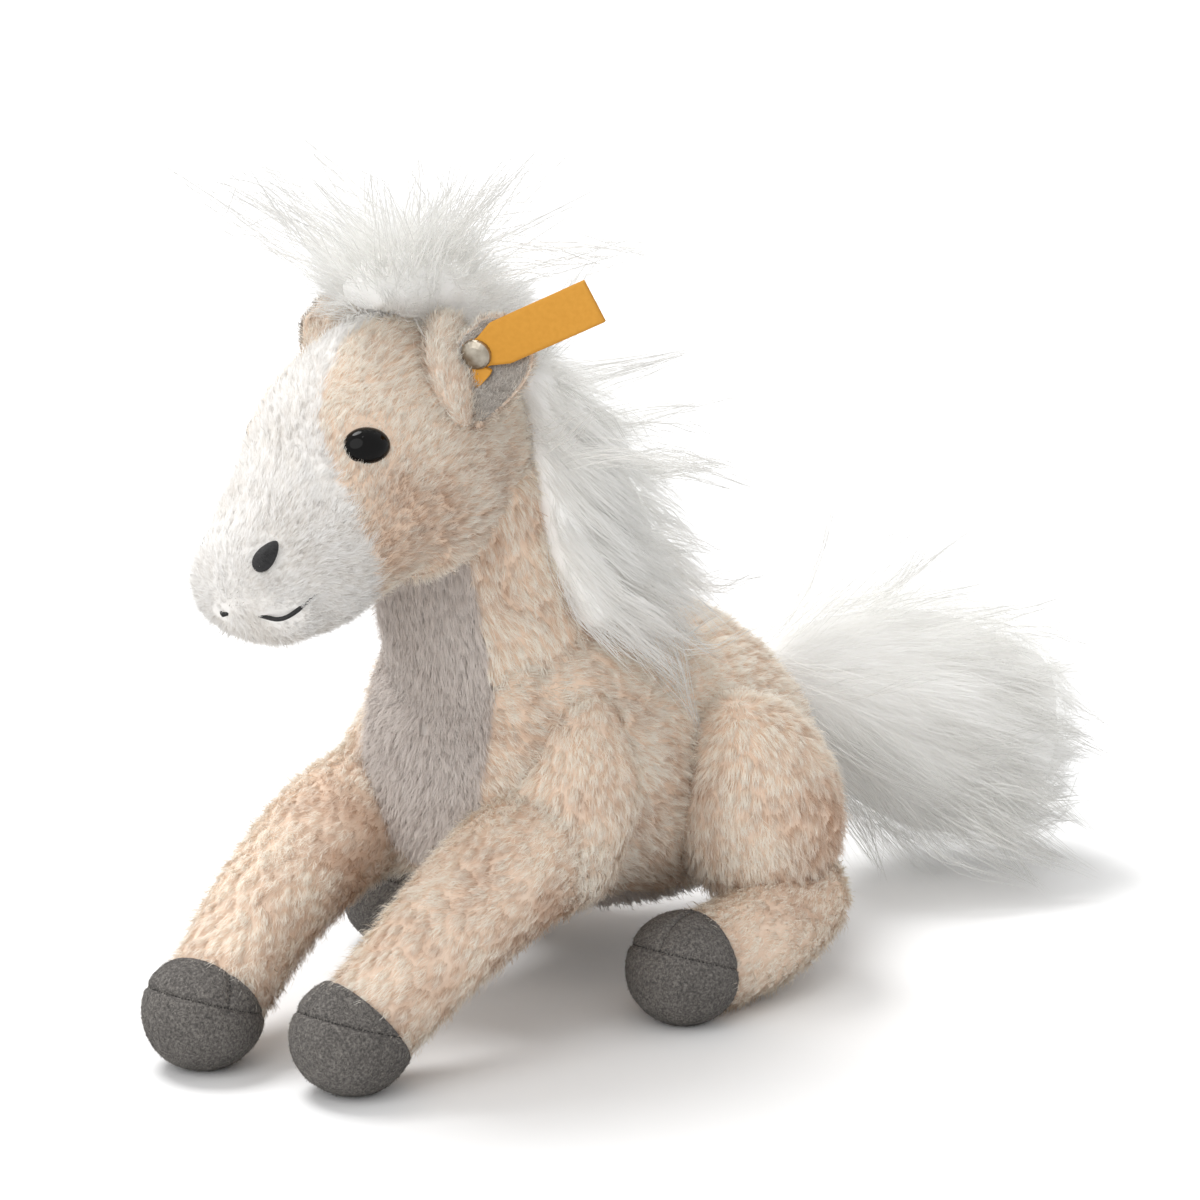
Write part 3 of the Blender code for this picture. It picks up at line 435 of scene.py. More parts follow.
class Form:
    """A stuffed form in millimetres: elliptical sections along a path, closed by rounded ends."""

    def __init__(self, stations, caps, across=ACROSS, narrowing=0.0, per_span=8, sides=72):
        rows = spline(stations, per_span)
        centre, half = rows[:, :3], rows[:, 3:5]
        forward = unit(np.gradient(centre, axis=0))
        turn = np.append(np.linspace(0, math.pi / 2, 9)[1:-1], math.radians(NEAR_POLE))[:, None]
        start = centre[0] - forward[0] * np.sin(turn) * caps[0]
        end = centre[-1] + forward[-1] * np.sin(turn) * caps[1]
        ends = len(turn)
        self.centre = np.vstack([start[::-1], centre, end])
        self.half = np.vstack([(half[0] * np.cos(turn))[::-1], half, half[-1] * np.cos(turn)])
        self.narrowing = narrowing
        self.lay(np.vstack([np.repeat(forward[:1], ends, 0), forward, np.repeat(forward[-1:], ends, 0)]),
                 across, sides)

    def lay(self, forward, across, sides):
        """The sections' directions, and the grid: half sizes times cosine and sine round each section."""
        self.forward = forward
        self.side = flattened(np.broadcast_to(across, forward.shape), forward)
        self.up = np.cross(forward, self.side)
        angle = angles(sides)
        wide = np.cos(angle) * (1 - self.narrowing * np.sin(angle))
        self.grid = placed(self.centre[:, None], (wide * self.half[:, :1], self.side[:, None]),
                           (np.sin(angle) * self.half[:, 1:], self.up[:, None]))

    def holds(self, points, margin=0.0):
        """Which points lie inside: x and y in the section whose plane is nearest, over its half sizes."""
        out = np.zeros(len(points), bool)
        low_corner, high_corner = self.grid.min((0, 1)) - 1, self.grid.max((0, 1)) + 1
        near = np.all((points > low_corner) & (points < high_corner), axis=1)
        if len(points) and not near.all():
            out[near] = self.holds(points[near], margin) if near.any() else False
            return out
        for low in range(0, len(points), POINTS_AT_ONCE):
            p = points[low:low + POINTS_AT_ONCE]
            gap = p[:, None] - self.centre[None]
            along = np.abs(np.einsum("nrk,rk->nr", gap, self.forward))
            nearest = np.argmin(along ** 2 + 0.02 * (gap ** 2).sum(-1), axis=1)
            here = np.arange(len(p))
            gap = gap[here, nearest]
            half = np.maximum(self.half[nearest] + margin, 0.01)
            high = (gap * self.up[nearest]).sum(-1) / half[:, 1]
            wide = (gap * self.side[nearest]).sum(-1) / half[:, 0]
            wide = wide / np.maximum(1 - self.narrowing * high, 0.2)
            out[low:low + POINTS_AT_ONCE] = (wide ** 2 + high ** 2 < 1) & (along[here, nearest] < 2.0)
        return out

    def leaves(self, start, toward):
        """Where rays from inside leave the form: the last of many steps along each ray that is inside."""
        direction = unit(np.atleast_2d(toward) - start)
        steps = np.arange(0.0, 60.0, 0.1)
        points = start + direction[:, None] * steps[None, :, None]
        inside = self.holds(points.reshape(-1, 3)).reshape(len(direction), len(steps))
        last = len(steps) - 1 - np.argmax(inside[:, ::-1], axis=1)
        return start + direction * steps[last][:, None]


class Ball(Form):
    """An ellipsoid as sections along z, tilted about x: centre plus radii times a unit sphere."""

    def __init__(self, centre, radii, tilt, rings=40, sides=72):
        turn = np.radians(np.linspace(-NEAR_POLE, NEAR_POLE, rings))
        forward = np.repeat([[0.0, -math.sin(tilt), math.cos(tilt)]], rings, 0)
        self.centre = centre + forward * (np.sin(turn) * radii[2])[:, None]
        self.half = np.cos(turn)[:, None] * np.array(radii)[None, :2]
        self.narrowing = 0.0
        self.lay(forward, ACROSS, sides)


def directions(grid):
    """Along, outward: the grid's row direction and the cross product of its two directions."""
    along = np.gradient(grid, axis=0)
    around = np.roll(grid, -1, axis=1) - np.roll(grid, 1, axis=1)
    return unit(along), unit(np.cross(around, along))


def scatter(grid, density, rng):
    """Points spread evenly by area over a closed grid, with the grid's along and outward directions."""
    beside = np.roll(grid, -1, axis=1)
    a, b, c, d = grid[:-1], beside[:-1], beside[1:], grid[1:]
    area = (np.linalg.norm(np.cross(b - a, d - a), axis=-1)
            + np.linalg.norm(np.cross(b - c, d - c), axis=-1)) / 2
    count = int(area.sum() * density)
    i, j = np.divmod(rng.choice(area.size, count, p=(area / area.sum()).ravel()), grid.shape[1])
    f, g = rng.random((2, count, 1))
    k = (j + 1) % grid.shape[1]

    def read(field):
        """A field of the grid at the scattered places, blended between the four points about each."""
        near = field[i, j] * (1 - g) + field[i, k] * g
        far = field[i + 1, j] * (1 - g) + field[i + 1, k] * g
        return near * (1 - f) + far * f

    along, outward = directions(grid)
    return read(grid), unit(read(along)), unit(read(outward))


# Meshes

def add_item(name, mesh, material):
    """An object at the origin that holds a mesh, with its material and slot."""
    item = bpy.data.objects.new(name, mesh)
    bpy.context.scene.collection.objects.link(item)
    mesh.materials.append(material)
    return item


def put(name, points, faces, material):
    """A smooth mesh object from points in millimetres and faces."""
    mesh = bpy.data.meshes.new(name)
    mesh.from_pydata((np.asarray(points) * MM).tolist(), [], faces)
    mesh.update()
    mesh.shade_smooth()
    return add_item(name, mesh, material)


def tube_faces(rows, sides):
    """Quads of a closed grid and the fans round its two pole points, which follow the grid's points."""
    r, s = np.meshgrid(np.arange(rows - 1), np.arange(sides), indexing="ij")
    t = (s + 1) % sides
    quads = np.stack([r * sides + s, r * sides + t, (r + 1) * sides + t, (r + 1) * sides + s], -1)
    s = np.arange(sides)
    t = (s + 1) % sides
    first = rows * sides
    start = np.stack([np.full(sides, first), t, s], -1)
    last = (rows - 1) * sides
    end = np.stack([np.full(sides, first + 1), last + s, last + t], -1)
    return quads.reshape(-1, 4).tolist() + start.tolist() + end.tolist()


def with_poles(grid):
    """A closed grid's points followed by the middles of its first and last rows."""
    return np.vstack([grid.reshape(-1, 3), grid[0].mean(0), grid[-1].mean(0)])


def closed(name, grid, material):
    """A closed mesh from a grid of rings, with a pole point at each end."""
    return put(name, with_poles(grid), tube_faces(*grid.shape[:2]), material)


def stuffed(item, *, node=None, body=None):
    """A closed cover in place of a CAD node, which it hides, and on a body where it has them."""
    if node:
        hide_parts(node)
    if body:
        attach(item, body)
    return item


def skin(name, grid, material, body, node, lumps=0.5, white=None):
    """The sewn cover of a stuffed form: its grid pulled in by the pile's backing and pushed about softly.

    white marks the points of a lighter part of the cover in an attribute.
    """
    outward = directions(grid)[1]
    inner = grid - outward * SKIN_INSET
    inner = inner + outward * (soft_noise(inner, LUMP_SIZE, 5) * lumps)[..., None]
    inner[..., 2] = np.maximum(inner[..., 2], SKIN_FLOOR)
    item = closed(name, inner, material)
    if white:
        share = item.data.attributes.new("white_share", "FLOAT", "POINT")
        share.data.foreach_set("value", white(with_poles(grid)).astype(np.float32))
    return stuffed(item, node=node, body=body)


def strands(name, paths, widths, outward, across, tint, material, slot, body=None):
    """Flat strips along paths: pairs of points, the path plus and minus its width across, and a tip.

    Along a strand the texture runs from root to tip, and across it stays near the strand's tint.
    """
    count, steps = paths.shape[:2]
    offset = across[:, None] * widths[:, :-1, None]
    pairs = np.stack([paths[:, :-1] - offset, paths[:, :-1] + offset], axis=2).reshape(count, -1, 3)
    points = np.concatenate([pairs, paths[:, -1:]], axis=1)
    per = points.shape[1]
    k = np.arange(steps - 2)
    pattern = np.vstack([
        np.stack([2 * k, 2 * k + 1, 2 * k + 3], -1),
        np.stack([2 * k, 2 * k + 3, 2 * k + 2], -1),
        [[2 * (steps - 2), 2 * (steps - 2) + 1, 2 * (steps - 1)]],
    ])
    faces = (np.arange(count)[:, None, None] * per + pattern[None]).reshape(-1, 3)
    mesh = bpy.data.meshes.new(name)
    mesh.vertices.add(count * per)
    mesh.vertices.foreach_set("co", (points * MM).reshape(-1))
    mesh.loops.add(faces.size)
    mesh.loops.foreach_set("vertex_index", faces.reshape(-1).astype(np.int32))
    mesh.polygons.add(len(faces))
    mesh.polygons.foreach_set("loop_start", np.arange(0, faces.size, 3, dtype=np.int32))
    mesh.update(calc_edges=True)
    mesh.shade_smooth()
    share = np.linspace(*TEXTURE_SPAN, steps)
    v = np.append(np.repeat(share[:-1], 2), share[-1])
    u_step = np.append(np.tile([-TEXTURE_STEP, TEXTURE_STEP], steps - 1), 0.0)
    u = np.clip(tint, *TEXTURE_SPAN)[:, None] + u_step[None]
    uv = np.stack([u, np.broadcast_to(v, u.shape)], axis=-1).reshape(-1, 2)
    layer = mesh.uv_layers.new(name="OFBake")
    layer.data.foreach_set("uv", uv[faces.reshape(-1)].reshape(-1).astype(np.float32))
    mesh.normals_split_custom_set_from_vertices(outward.reshape(-1, 3))
    item = add_item(name, mesh, material)
    if body:
        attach(item, body)
    return item


class Pile:
    """What a region of plush is like: its material and slot, and the size and habit of its strands.

    Length, width, tuft size, swelling and inset are in millimetres, density is strands to the
    square millimetre, and the others are shares or spreads of a unit direction.
    """

    def __init__(self, material, slot, length, width, density, lean, tuft, close=0.5, stray=0.26, down=0.0,
                 swell=0.8, inset=SKIN_INSET):
        self.material, self.slot = material, slot
        self.length, self.width, self.density = length, width, density
        self.lean, self.tuft, self.close = lean, tuft, close
        self.stray, self.down, self.swell, self.inset = stray, down, swell, inset


# Places where the pile stands open and shows its darker roots, the first with painted shade in the crease
# between the right arm and the chest: centre, radius and amount
OPEN_PATCHES_AND_CREASE_SHADE = [
    ((-20.0, -79.0, 42.0), 12.0, 1.40),
    ((26.0, -108.0, 126.0), 9.0, 0.25),
    ((34.0, -74.0, 36.0), 11.0, 0.20),
    ((58.0, 4.0, 34.0), 13.0, 0.35),
    ((7.5, -132.5, 111.5), 4.5, 0.80),
    ((6.0, -128.0, 103.0), 7.0, 0.60),
]


def plush(name, grid, pile, seed, body, keep, flow=1.0, painted_light=None, avoid=(), bare=()):
    """Short pile on a grid: strands rise from the skin, lean along the nap and close toward their tufts.

    keep says which roots stay, flow is +1 or -1 along the grid, shade adds painted light to the tint by place,
    avoid lists balls that the strands stop short of, and bare lists balls without roots.
    """
    rng = np.random.default_rng(seed)
    root, along, outward = scatter(grid, pile.density, rng)
    root, along, outward = rows_of(keep(root, outward), root, along, outward)
    for ball_centre, radius in bare:
        away = np.linalg.norm(root - ball_centre, axis=1) > radius
        root, along, outward = rows_of(away, root, along, outward)
    count = len(root)
    wander = np.stack([soft_noise(root, WANDER_SIZE, seed + k) for k in (11, 12, 13)], -1)
    nap = flattened(along * flow - UP * pile.down + wander * WANDER_SHARE
                    + rng.normal(0, pile.stray, (count, 3)), outward)
    centre, value = tufts(root, pile.tuft, seed)
    toward = centre - root
    toward = toward - outward * dots(toward, outward)
    length = pile.length * (LENGTH_LEAST + LENGTH_RANDOM * rng.random((count, 1))
                            + LENGTH_TUFT * value[:, None])
    for ball_centre, radius in avoid:
        room = np.linalg.norm(root - ball_centre, axis=1, keepdims=True) - radius
        length = np.where(room < length, np.maximum(room, SHORTEST_STRAND), length)
    rise = pile.lean + rng.normal(0, 0.06, (count, 1))
    rise = rise + UPRIGHT_RISE * (rng.random((count, 1)) < UPRIGHT_SHARE)
    rise = np.clip(rise, *RISE_SPAN)
    middle_share = 1 - (toward ** 2).sum(-1, keepdims=True) / (0.45 * pile.tuft) ** 2
    middle_share = np.clip(middle_share, -0.5, 1)
    base = root - outward * (pile.inset + ROOT_DEPTH - pile.swell * middle_share)
    path = [base]
    for rise_share, nap_share, close_share in STRAND_SHARES:
        path.append(base + outward * length * (ROOT_RISE + rise_share * rise) + nap * length * nap_share
                    + toward * pile.close * close_share)
    paths = np.stack(path, axis=1)
    paths[..., 2] = np.maximum(paths[..., 2], PILE_FLOOR)
    side = unit(np.cross(nap + outward * 0.35, outward) + rng.normal(0, 0.25, (count, 3)))
    widths = pile.width / 2 * (0.7 + 0.6 * rng.random((count, 1))) * STRAND_TAPER
    tint = TINT_BASE
    for amount, size, noise_seed in TINT_NOISES:
        tint = tint + amount * soft_noise(root, size, noise_seed)
    # Darker in the gaps between tufts, partly the roots' colour and partly painted shade
    tint = (tint + TINT_TUFT * (value - 0.5) + TINT_GAP_ROOTS_AND_SHADE * (middle_share[:, 0] - 0.3)
            # pile that faces up is tinted paler here: painted light
            + rng.normal(0, TINT_STRAY, count) + TINT_PAINTED_TOP_LIGHT * np.clip(outward[:, 2], 0, 1))
    # Darker roots where the pile stands open, with painted shade in the crease between the right arm and the
    # chest
    for patch_centre, radius, amount in OPEN_PATCHES_AND_CREASE_SHADE:
        tint = tint - amount * np.exp(-((root - patch_centre) ** 2).sum(axis=1) / radius ** 2)
    # Painted light added to the tint by place
    if painted_light is not None:
        tint = tint + painted_light(root)
    normals = unit(unit(outward + nap * 0.15 + UP * PILE_LIFT) + (root - centre) * TUFT_ROUNDING)
    normals = np.repeat(normals[:, None], 2 * paths.shape[1] - 1, axis=1)
    first = None
    for part, low in enumerate(range(0, count, MOST_STRANDS)):
        some = slice(low, low + MOST_STRANDS)
        part_name = name if count <= MOST_STRANDS else f"{name}_{part + 1}"
        item = strands(part_name, *rows_of(some, paths, widths, normals, side, tint),
                       pile.material, pile.slot, body)
        first = first or item
    return first


def on_side(point, side):
    """A place on the head's left, or its mirror image about the head's middle."""
    if side == "left":
        return point
    return np.array([2 * HEAD_MIDDLE - point[0], point[1], point[2]])


def hair_roots(grid, density, rng, under, margin):
    """Roots scattered over a grid, but for those inside other forms, with their directions."""
    root, along, outward = scatter(grid, density, rng)
    free = np.ones(len(root), bool)
    for form in under:
        free &= ~form.holds(root, margin)
    return rows_of(free, root, along, outward)


def away_from(form, points):
    """Directions from the nearest section's centre of a form to points."""
    gap = points[:, None] - form.centre[None]
    nearest = np.argmin((gap ** 2).sum(-1), axis=1)
    return gap[np.arange(len(points)), nearest]


def long_hair(name, root, direction, middle, body=None, *, seed, droop, length, lock, close, spread, stray,
              width=0.12):
    """Long strands, each drawn toward the middle of its lock.

    A path is the root plus the length times direction x t, droop x t squared and a small swing.
    """
    rng = np.random.default_rng(seed)
    count = len(root)
    centre, value = tufts(root, lock, seed)
    cell = np.round(centre * 50)
    turn = lattice_vectors(cell, seed + 30) * 2 - 1
    direction = unit(unit(direction) + turn * spread + rng.normal(0, stray, (count, 3)))
    share = lattice(cell, seed + 34)[:, None]
    length = length * (0.62 + 0.38 * share) * (0.72 + 0.28 * rng.random((count, 1)))
    t = np.linspace(0, 1, HAIR_STEPS)[None, :, None]
    swing = (rng.normal(0, 0.05, (count, 1, 3)) * np.sin(math.pi * t)
             + turn[:, None] * 0.08 * np.sin(1.5 * math.pi * t))
    paths = (root[:, None] + (centre - root)[:, None] * close * t ** 0.7
             + direction[:, None] * length[:, None] * t
             + np.array(droop) * length[:, None] * t ** 2 + swing * length[:, None])
    paths[..., 2] = np.maximum(paths[..., 2], HAIR_FLOOR)
    tangent = unit(paths[:, -1] - paths[:, 0])
    outward = flattened(away_from(middle, paths[:, HAIR_STEPS // 2]), tangent)
    side = unit(np.cross(tangent, outward) + rng.normal(0, 0.30, (count, 3)))
    widths = width / 2 * (0.6 + 0.8 * rng.random((count, 1))) * HAIR_TAPER
    tint = 0.5 + 0.22 * (value - 0.5) + rng.normal(0, 0.16, count)
    normals = unit(outward + UP * HAIR_LIFT + rng.normal(0, 0.12, (count, 3)))
    normals = np.repeat(normals[:, None], 2 * HAIR_STEPS - 1, axis=1)
    return strands(name, paths, widths, normals, side, tint, LONG_HAIR, "long_hair", body)


def locks(name, start, tip, body=None, *, seed, radius, per_lock, width=0.15):
    """Wispy locks: strands from round each start run toward the lock's tip, their white hair painted greyer
    toward the tips as shade.

    A path is the line from base to goal plus a bend times the sine of the way along it.
    """
    rng = np.random.default_rng(seed)
    count = len(start) * per_lock
    base = np.repeat(start, per_lock, axis=0) + rng.normal(0, radius, (count, 3))
    goal = np.repeat(tip, per_lock, axis=0) + rng.normal(0, radius * 0.22, (count, 3))
    goal = base + (goal - base) * (1 - 0.55 * rng.random((count, 1)) ** 1.5)
    length = np.linalg.norm(goal - base, axis=1)[:, None, None]
    bend = np.repeat(rng.normal(0, 0.07, (len(start), 1, 3)), per_lock, axis=0)
    bend = bend + rng.normal(0, 0.02, (count, 1, 3))
    t = np.linspace(0, 1, HAIR_STEPS)[None, :, None]
    paths = base[:, None] * (1 - t) + goal[:, None] * t + bend * length * np.sin(1.3 * math.pi * t)
    paths[..., 2] = np.maximum(paths[..., 2], HAIR_FLOOR)
    tangent = unit(goal - base)
    outward = flattened(UP * HAIR_LIFT + rng.normal(0, 0.5, (count, 3)), tangent)
    side = unit(np.cross(tangent, outward))
    widths = width / 2 * (0.6 + 0.8 * rng.random((count, 1))) * LOCK_TAPER
    tint = 0.5 + rng.normal(0, 0.2, count)
    normals = np.repeat(outward[:, None], 2 * HAIR_STEPS - 1, axis=1)
    return strands(name, paths, widths, normals, side, tint, WISPY_HAIR_TIP_SHADE, "long_hair", body)


def fan(count, low, high, seed):
    """Directions all round, one after another by the golden angle, with elevations between two bounds."""
    k = np.arange(count)
    turn = k * math.pi * (3 - math.sqrt(5)) + seed
    rise = np.radians(low + (high - low) * ((k * 0.37 + 0.11) % 1.0))
    return np.stack([np.cos(turn) * np.cos(rise), np.sin(turn) * np.cos(rise), np.sin(rise)], -1)


# Materials

def feed(tree, node, inputs):
    """Sets a node's inputs to values, or wires them to other nodes' outputs."""
    for key, value in inputs.items():
        if isinstance(value, bpy.types.NodeSocket):
            tree.links.new(value, node.inputs[key])
        else:
            node.inputs[key].default_value = value


def blank_material(name):
    """A new material with its node tree and its main shader."""
    material = bpy.data.materials.new(name)
    material.use_nodes = True
    tree = material.node_tree
    return material, tree, tree.nodes["Principled BSDF"]


def linear(colour):
    """An sRGB colour of 0 to 255 as linear values."""
    c = np.array(colour) / 255
    return np.where(c <= 0.04045, c / 12.92, ((c + 0.055) / 1.055) ** 2.4)


def ramp(tree, source, colours, low=0.0, high=1.0, places=None):
    """A colour ramp through sRGB colours, at even places between two bounds or at places of its own."""
    node = tree.nodes.new("ShaderNodeValToRGB")
    elements = node.color_ramp.elements
    while len(elements) < len(colours):
        elements.new(0.5)
    for element, place, colour in zip(elements, places or np.linspace(low, high, len(colours)), colours):
        element.position = place
        element.color = (*linear(colour), 1.0)
    feed(tree, node, {"Fac": source})
    return node.outputs["Color"]


def pile_material(name, dark, light, roughness=0.75, glow=0.12):
    """Strand colour: two ramps from root to tip, mixed by each strand's tint.

    The glow is the share of the light that passes through the fibre.
    """
    material, tree, shader = blank_material(name)
    place = tree.nodes.new("ShaderNodeUVMap")
    place.uv_map = "OFBake"
    split = tree.nodes.new("ShaderNodeSeparateXYZ")
    feed(tree, split, {"Vector": place.outputs["UV"]})
    deep = ramp(tree, split.outputs["Y"], dark, places=PILE_PLACES)
    pale = ramp(tree, split.outputs["Y"], light, places=PILE_PLACES)
    mix = tree.nodes.new("ShaderNodeMix")
    mix.data_type = "RGBA"
    feed(tree, mix, {"Factor": split.outputs["X"], "A": deep, "B": pale})
    colour = mix.outputs["Result"]
    feed(tree, shader, {"Base Color": colour, "Roughness": roughness, "Specular IOR Level": 0.15})
    through = tree.nodes.new("ShaderNodeBsdfTranslucent")
    feed(tree, through, {"Color": colour})
    both = tree.nodes.new("ShaderNodeMixShader")
    feed(tree, both, {"Fac": glow, 1: shader.outputs["BSDF"], 2: through.outputs["BSDF"]})
    feed(tree, tree.nodes["Material Output"], {"Surface": both.outputs["Shader"]})
    return material


def noisy_material(name, colours, scale, roughness=0.9, bump=0.0, metallic=0.0, detail=4.0):
    """A mottled finish: noise on object coordinates through a colour ramp, with a bump of the same noise."""
    material, tree, shader = blank_material(name)
    place = tree.nodes.new("ShaderNodeTexCoord")
    noise = tree.nodes.new("ShaderNodeTexNoise")
    feed(tree, noise, {"Scale": scale, "Detail": detail, "Vector": place.outputs["Object"]})
    colour = ramp(tree, noise.outputs["Fac"], colours, 0.3, 0.7)
    feed(tree, shader, {"Base Color": colour, "Roughness": roughness, "Metallic": metallic})
    if bump:
        relief = tree.nodes.new("ShaderNodeBump")
        feed(tree, relief, {"Strength": bump, "Distance": BUMP_DEPTH, "Height": noise.outputs["Fac"]})
        feed(tree, shader, {"Normal": relief.outputs["Normal"]})
    return material


def two_part_material(name, first, second):
    """A cover in two plain colours, chosen by the white_share attribute."""
    material, tree, shader = blank_material(name)
    share = tree.nodes.new("ShaderNodeAttribute")
    share.attribute_name = "white_share"
    colour = ramp(tree, share.outputs["Fac"], [first, second])
    feed(tree, shader, {"Base Color": colour, "Roughness": 0.9})
    return material


def plain_material(name, colour, roughness, specular=0.5):
    """One even colour."""
    material, tree, shader = blank_material(name)
    feed(tree, shader, {"Base Color": (*linear(colour), 1.0), "Roughness": roughness,
                        "Specular IOR Level": specular})
    return material


TAN_PILE = pile_material("tan_plush", [(176, 139, 111), (205, 169, 140), (230, 199, 173)],
                         [(252, 232, 212), (255, 249, 237), (255, 255, 249)], glow=0.24)
WHITE_PILE = pile_material("white_plush", [(204, 194, 182), (234, 228, 220), (248, 245, 240)],
                           [(244, 240, 234), (253, 251, 248), (255, 255, 254)])
BIB_PILE = pile_material("bib_plush", [(192, 180, 171), (211, 200, 192), (226, 216, 209)],
                         [(208, 197, 189), (227, 218, 211), (240, 233, 227)])
LONG_HAIR = pile_material("long_hair", [(240, 239, 235), (248, 247, 245), (252, 252, 250)],
                          [(250, 249, 247), (255, 255, 253), (255, 255, 255)], roughness=0.5, glow=0.40)
# White hair painted greyer toward the tips: painted shade that shows thin strands against the white
WISPY_HAIR_TIP_SHADE = pile_material("wispy_hair_tip_shade", [(250, 249, 246), (232, 231, 228), (200, 199, 196)],
                           [(255, 255, 253), (246, 245, 242), (216, 215, 212)], roughness=0.5, glow=0.30)
SUEDE_NAP = pile_material("hoof_nap", [(36, 35, 34), (62, 60, 58), (84, 81, 78)],
                          [(92, 89, 85), (136, 132, 126), (186, 180, 173)])
GREY_NAP = pile_material("ear_nap", [(112, 104, 97), (140, 132, 124), (164, 156, 148)],
                         [(180, 172, 163), (216, 209, 201), (240, 235, 228)])
TAN_BACKING = noisy_material("tan_backing", [(226, 200, 178), (242, 222, 203)], 220)
TORSO_BACKING = two_part_material("torso_backing", (234, 210, 188), (196, 188, 182))
HAIR_BACKING = noisy_material("hair_backing", [(248, 247, 244), (254, 253, 252)], 160)
GREY_BACKING = noisy_material("ear_backing", [(150, 141, 132), (184, 175, 166)], 900, bump=0.4)
SUEDE = noisy_material("hoof_suede", [(66, 64, 62), (94, 90, 87), (132, 128, 123)], 1500, 0.95, 0.5,
                       detail=8.0)
SEAM_THREAD = plain_material("seam_thread", (46, 44, 43), 0.8)
HEAD_BACKING = two_part_material("head_backing", (234, 210, 188), (250, 247, 243))
EYE_BLACK = plain_material("eye_black", (6, 5, 5), 0.06, specular=0.16)
STITCH_BLACK = noisy_material("stitch_black", [(5, 5, 6), (34, 33, 34)], 1800, 0.6, 0.6)
PEWTER = noisy_material("button_metal", [(150, 140, 126), (186, 178, 164)], 500, 0.34, metallic=1.0)
RIBBON = noisy_material("ribbon_yellow", [(209, 146, 45), (216, 153, 52)], 900, 0.7)
WASHER = plain_material("washer_white", (235, 235, 232), 0.4)


# Forms of this horse

TORSO = Form(TORSO_STATIONS, (10.0, 12.0))
NECK = Form(NECK_STATIONS, (8.0, 10.0), per_span=30)
HEAD = Form(HEAD_STATIONS, (18.0, 11.0), narrowing=HEAD_NARROWING_SHARE)
FOREARMS = {s: Form(mirrored(FOREARM_STATIONS, s, FRONT_REACH[s]), (17.0, 14.0)) for s in SIDE_SIGNS}
SHANKS = {s: Form(mirrored(SHANK_STATIONS, s), (11.0, 14.0)) for s in SIDE_SIGNS}
THIGHS = {s: Ball(THIGH_CENTRE * (SIDE_SIGNS[s], 1, 1), THIGH_RADII, THIGH_TILT) for s in SIDE_SIGNS}
TAIL = Form(TAIL_STATIONS, (6.0, 19.0))
MANE = Form(MANE_STATIONS, (8.0, 7.0))
FORELOCK = Form(FORELOCK_STATIONS, (8.0, 9.0))


# Tests for roots

def outside(*forms, margin=-1.5):
    """A test for roots that no other form covers by more than the margin."""
    def test(points, outward):
        """The test itself, which looks at the points alone."""
        free = np.ones(len(points), bool)
        for form in forms:
            free &= ~form.holds(points, margin)
        return free
    return test


def behind_cuff(end, forward):
    """A test for roots whose distance along the leg is short of its hoof's cuff."""
    return lambda points, outward: (points - end) @ forward < -HOOF_CUFF_BACK + CUFF_OVERLAP


def both(first, second):
    """A test for roots that pass two tests."""
    return lambda points, outward: first(points, outward) & second(points, outward)


def in_bib(points):
    """The bib seen from the front: a straight band that runs to a point between the legs."""
    x, y, z = points.T
    edge = CHEST_HALF_WIDTH * np.clip((z - CHEST_POINT) / (CHEST_SHOULDER - CHEST_POINT), 0, 1)
    edge = edge + SEAM_WANDER * soft_noise(points, 5.0, 71)
    back = CHEST_BACK - CHEST_BACK_SLOPE * np.clip(z - CHEST_BACK_LEVEL, 0, None)
    return (np.abs(x - CHEST_MIDDLE) < edge) & (y < back)


def in_belly(points):
    """The belly panel: the lower part of the torso between two straight edges."""
    x, y, z = points.T
    edge = BELLY_HALF_WIDTH + soft_noise(points, 5.0, 72)
    return (np.abs(x) < edge) & (z < BELLY_TOP) & (y > BELLY_FRONT) & (y < BELLY_BACK)


def in_muzzle(points):
    """The muzzle: all that lies in front of the plane of its seam."""
    return ((points - MUZZLE_SEAM_POINT) @ MUZZLE_SEAM_NORMAL) > SEAM_WANDER * soft_noise(points, 4.0, 73)


def in_blaze(points):
    """The blaze: a strip whose edges follow the height, on the front of the head above the muzzle."""
    x, y, z = points.T
    edge = np.interp(z, BLAZE_HEIGHTS, BLAZE_EDGES) + SEAM_WANDER * soft_noise(points, 4.0, 74)
    far_edge = np.maximum(edge - 2 * HEAD_MIDDLE, BLAZE_LEAST_EDGE)
    lower = np.clip((BLAZE_BACK_LEVEL - z) / BLAZE_BACK_FADE, 0, 1)
    back = BLAZE_BACK - (BLAZE_BACK - BLAZE_LOW_BACK) * lower
    return (x < edge) & (x > -far_edge) & (z > BLAZE_FLOOR) & (y < back)


BODY_PILE = Pile(TAN_PILE, "tan_plush", 3.9, 0.125, 5.2, lean=0.17, tuft=3.4, down=0.25, swell=0.9)
BELLY_PILE = Pile(BIB_PILE, "white_plush", 3.9, 0.14, 4.2, lean=0.17, tuft=3.4, down=0.25, swell=0.9)
CHEST_PILE = Pile(BIB_PILE, "bib_plush", 4.0, 0.13, 9.5, lean=0.20, tuft=2.6, close=0.35, stray=0.28,
                  down=0.8, swell=0.3)
LEG_PILE = Pile(TAN_PILE, "tan_plush", 3.7, 0.125, 5.3, lean=0.17, tuft=3.2, stray=0.30, down=0.05)
FACE_PILE = Pile(TAN_PILE, "tan_plush", 3.4, 0.115, 6.3, lean=0.18, tuft=2.6, swell=0.5)
BLAZE_PILE = Pile(WHITE_PILE, "white_plush", 3.4, 0.115, 6.3, lean=0.18, tuft=2.6, swell=0.5)
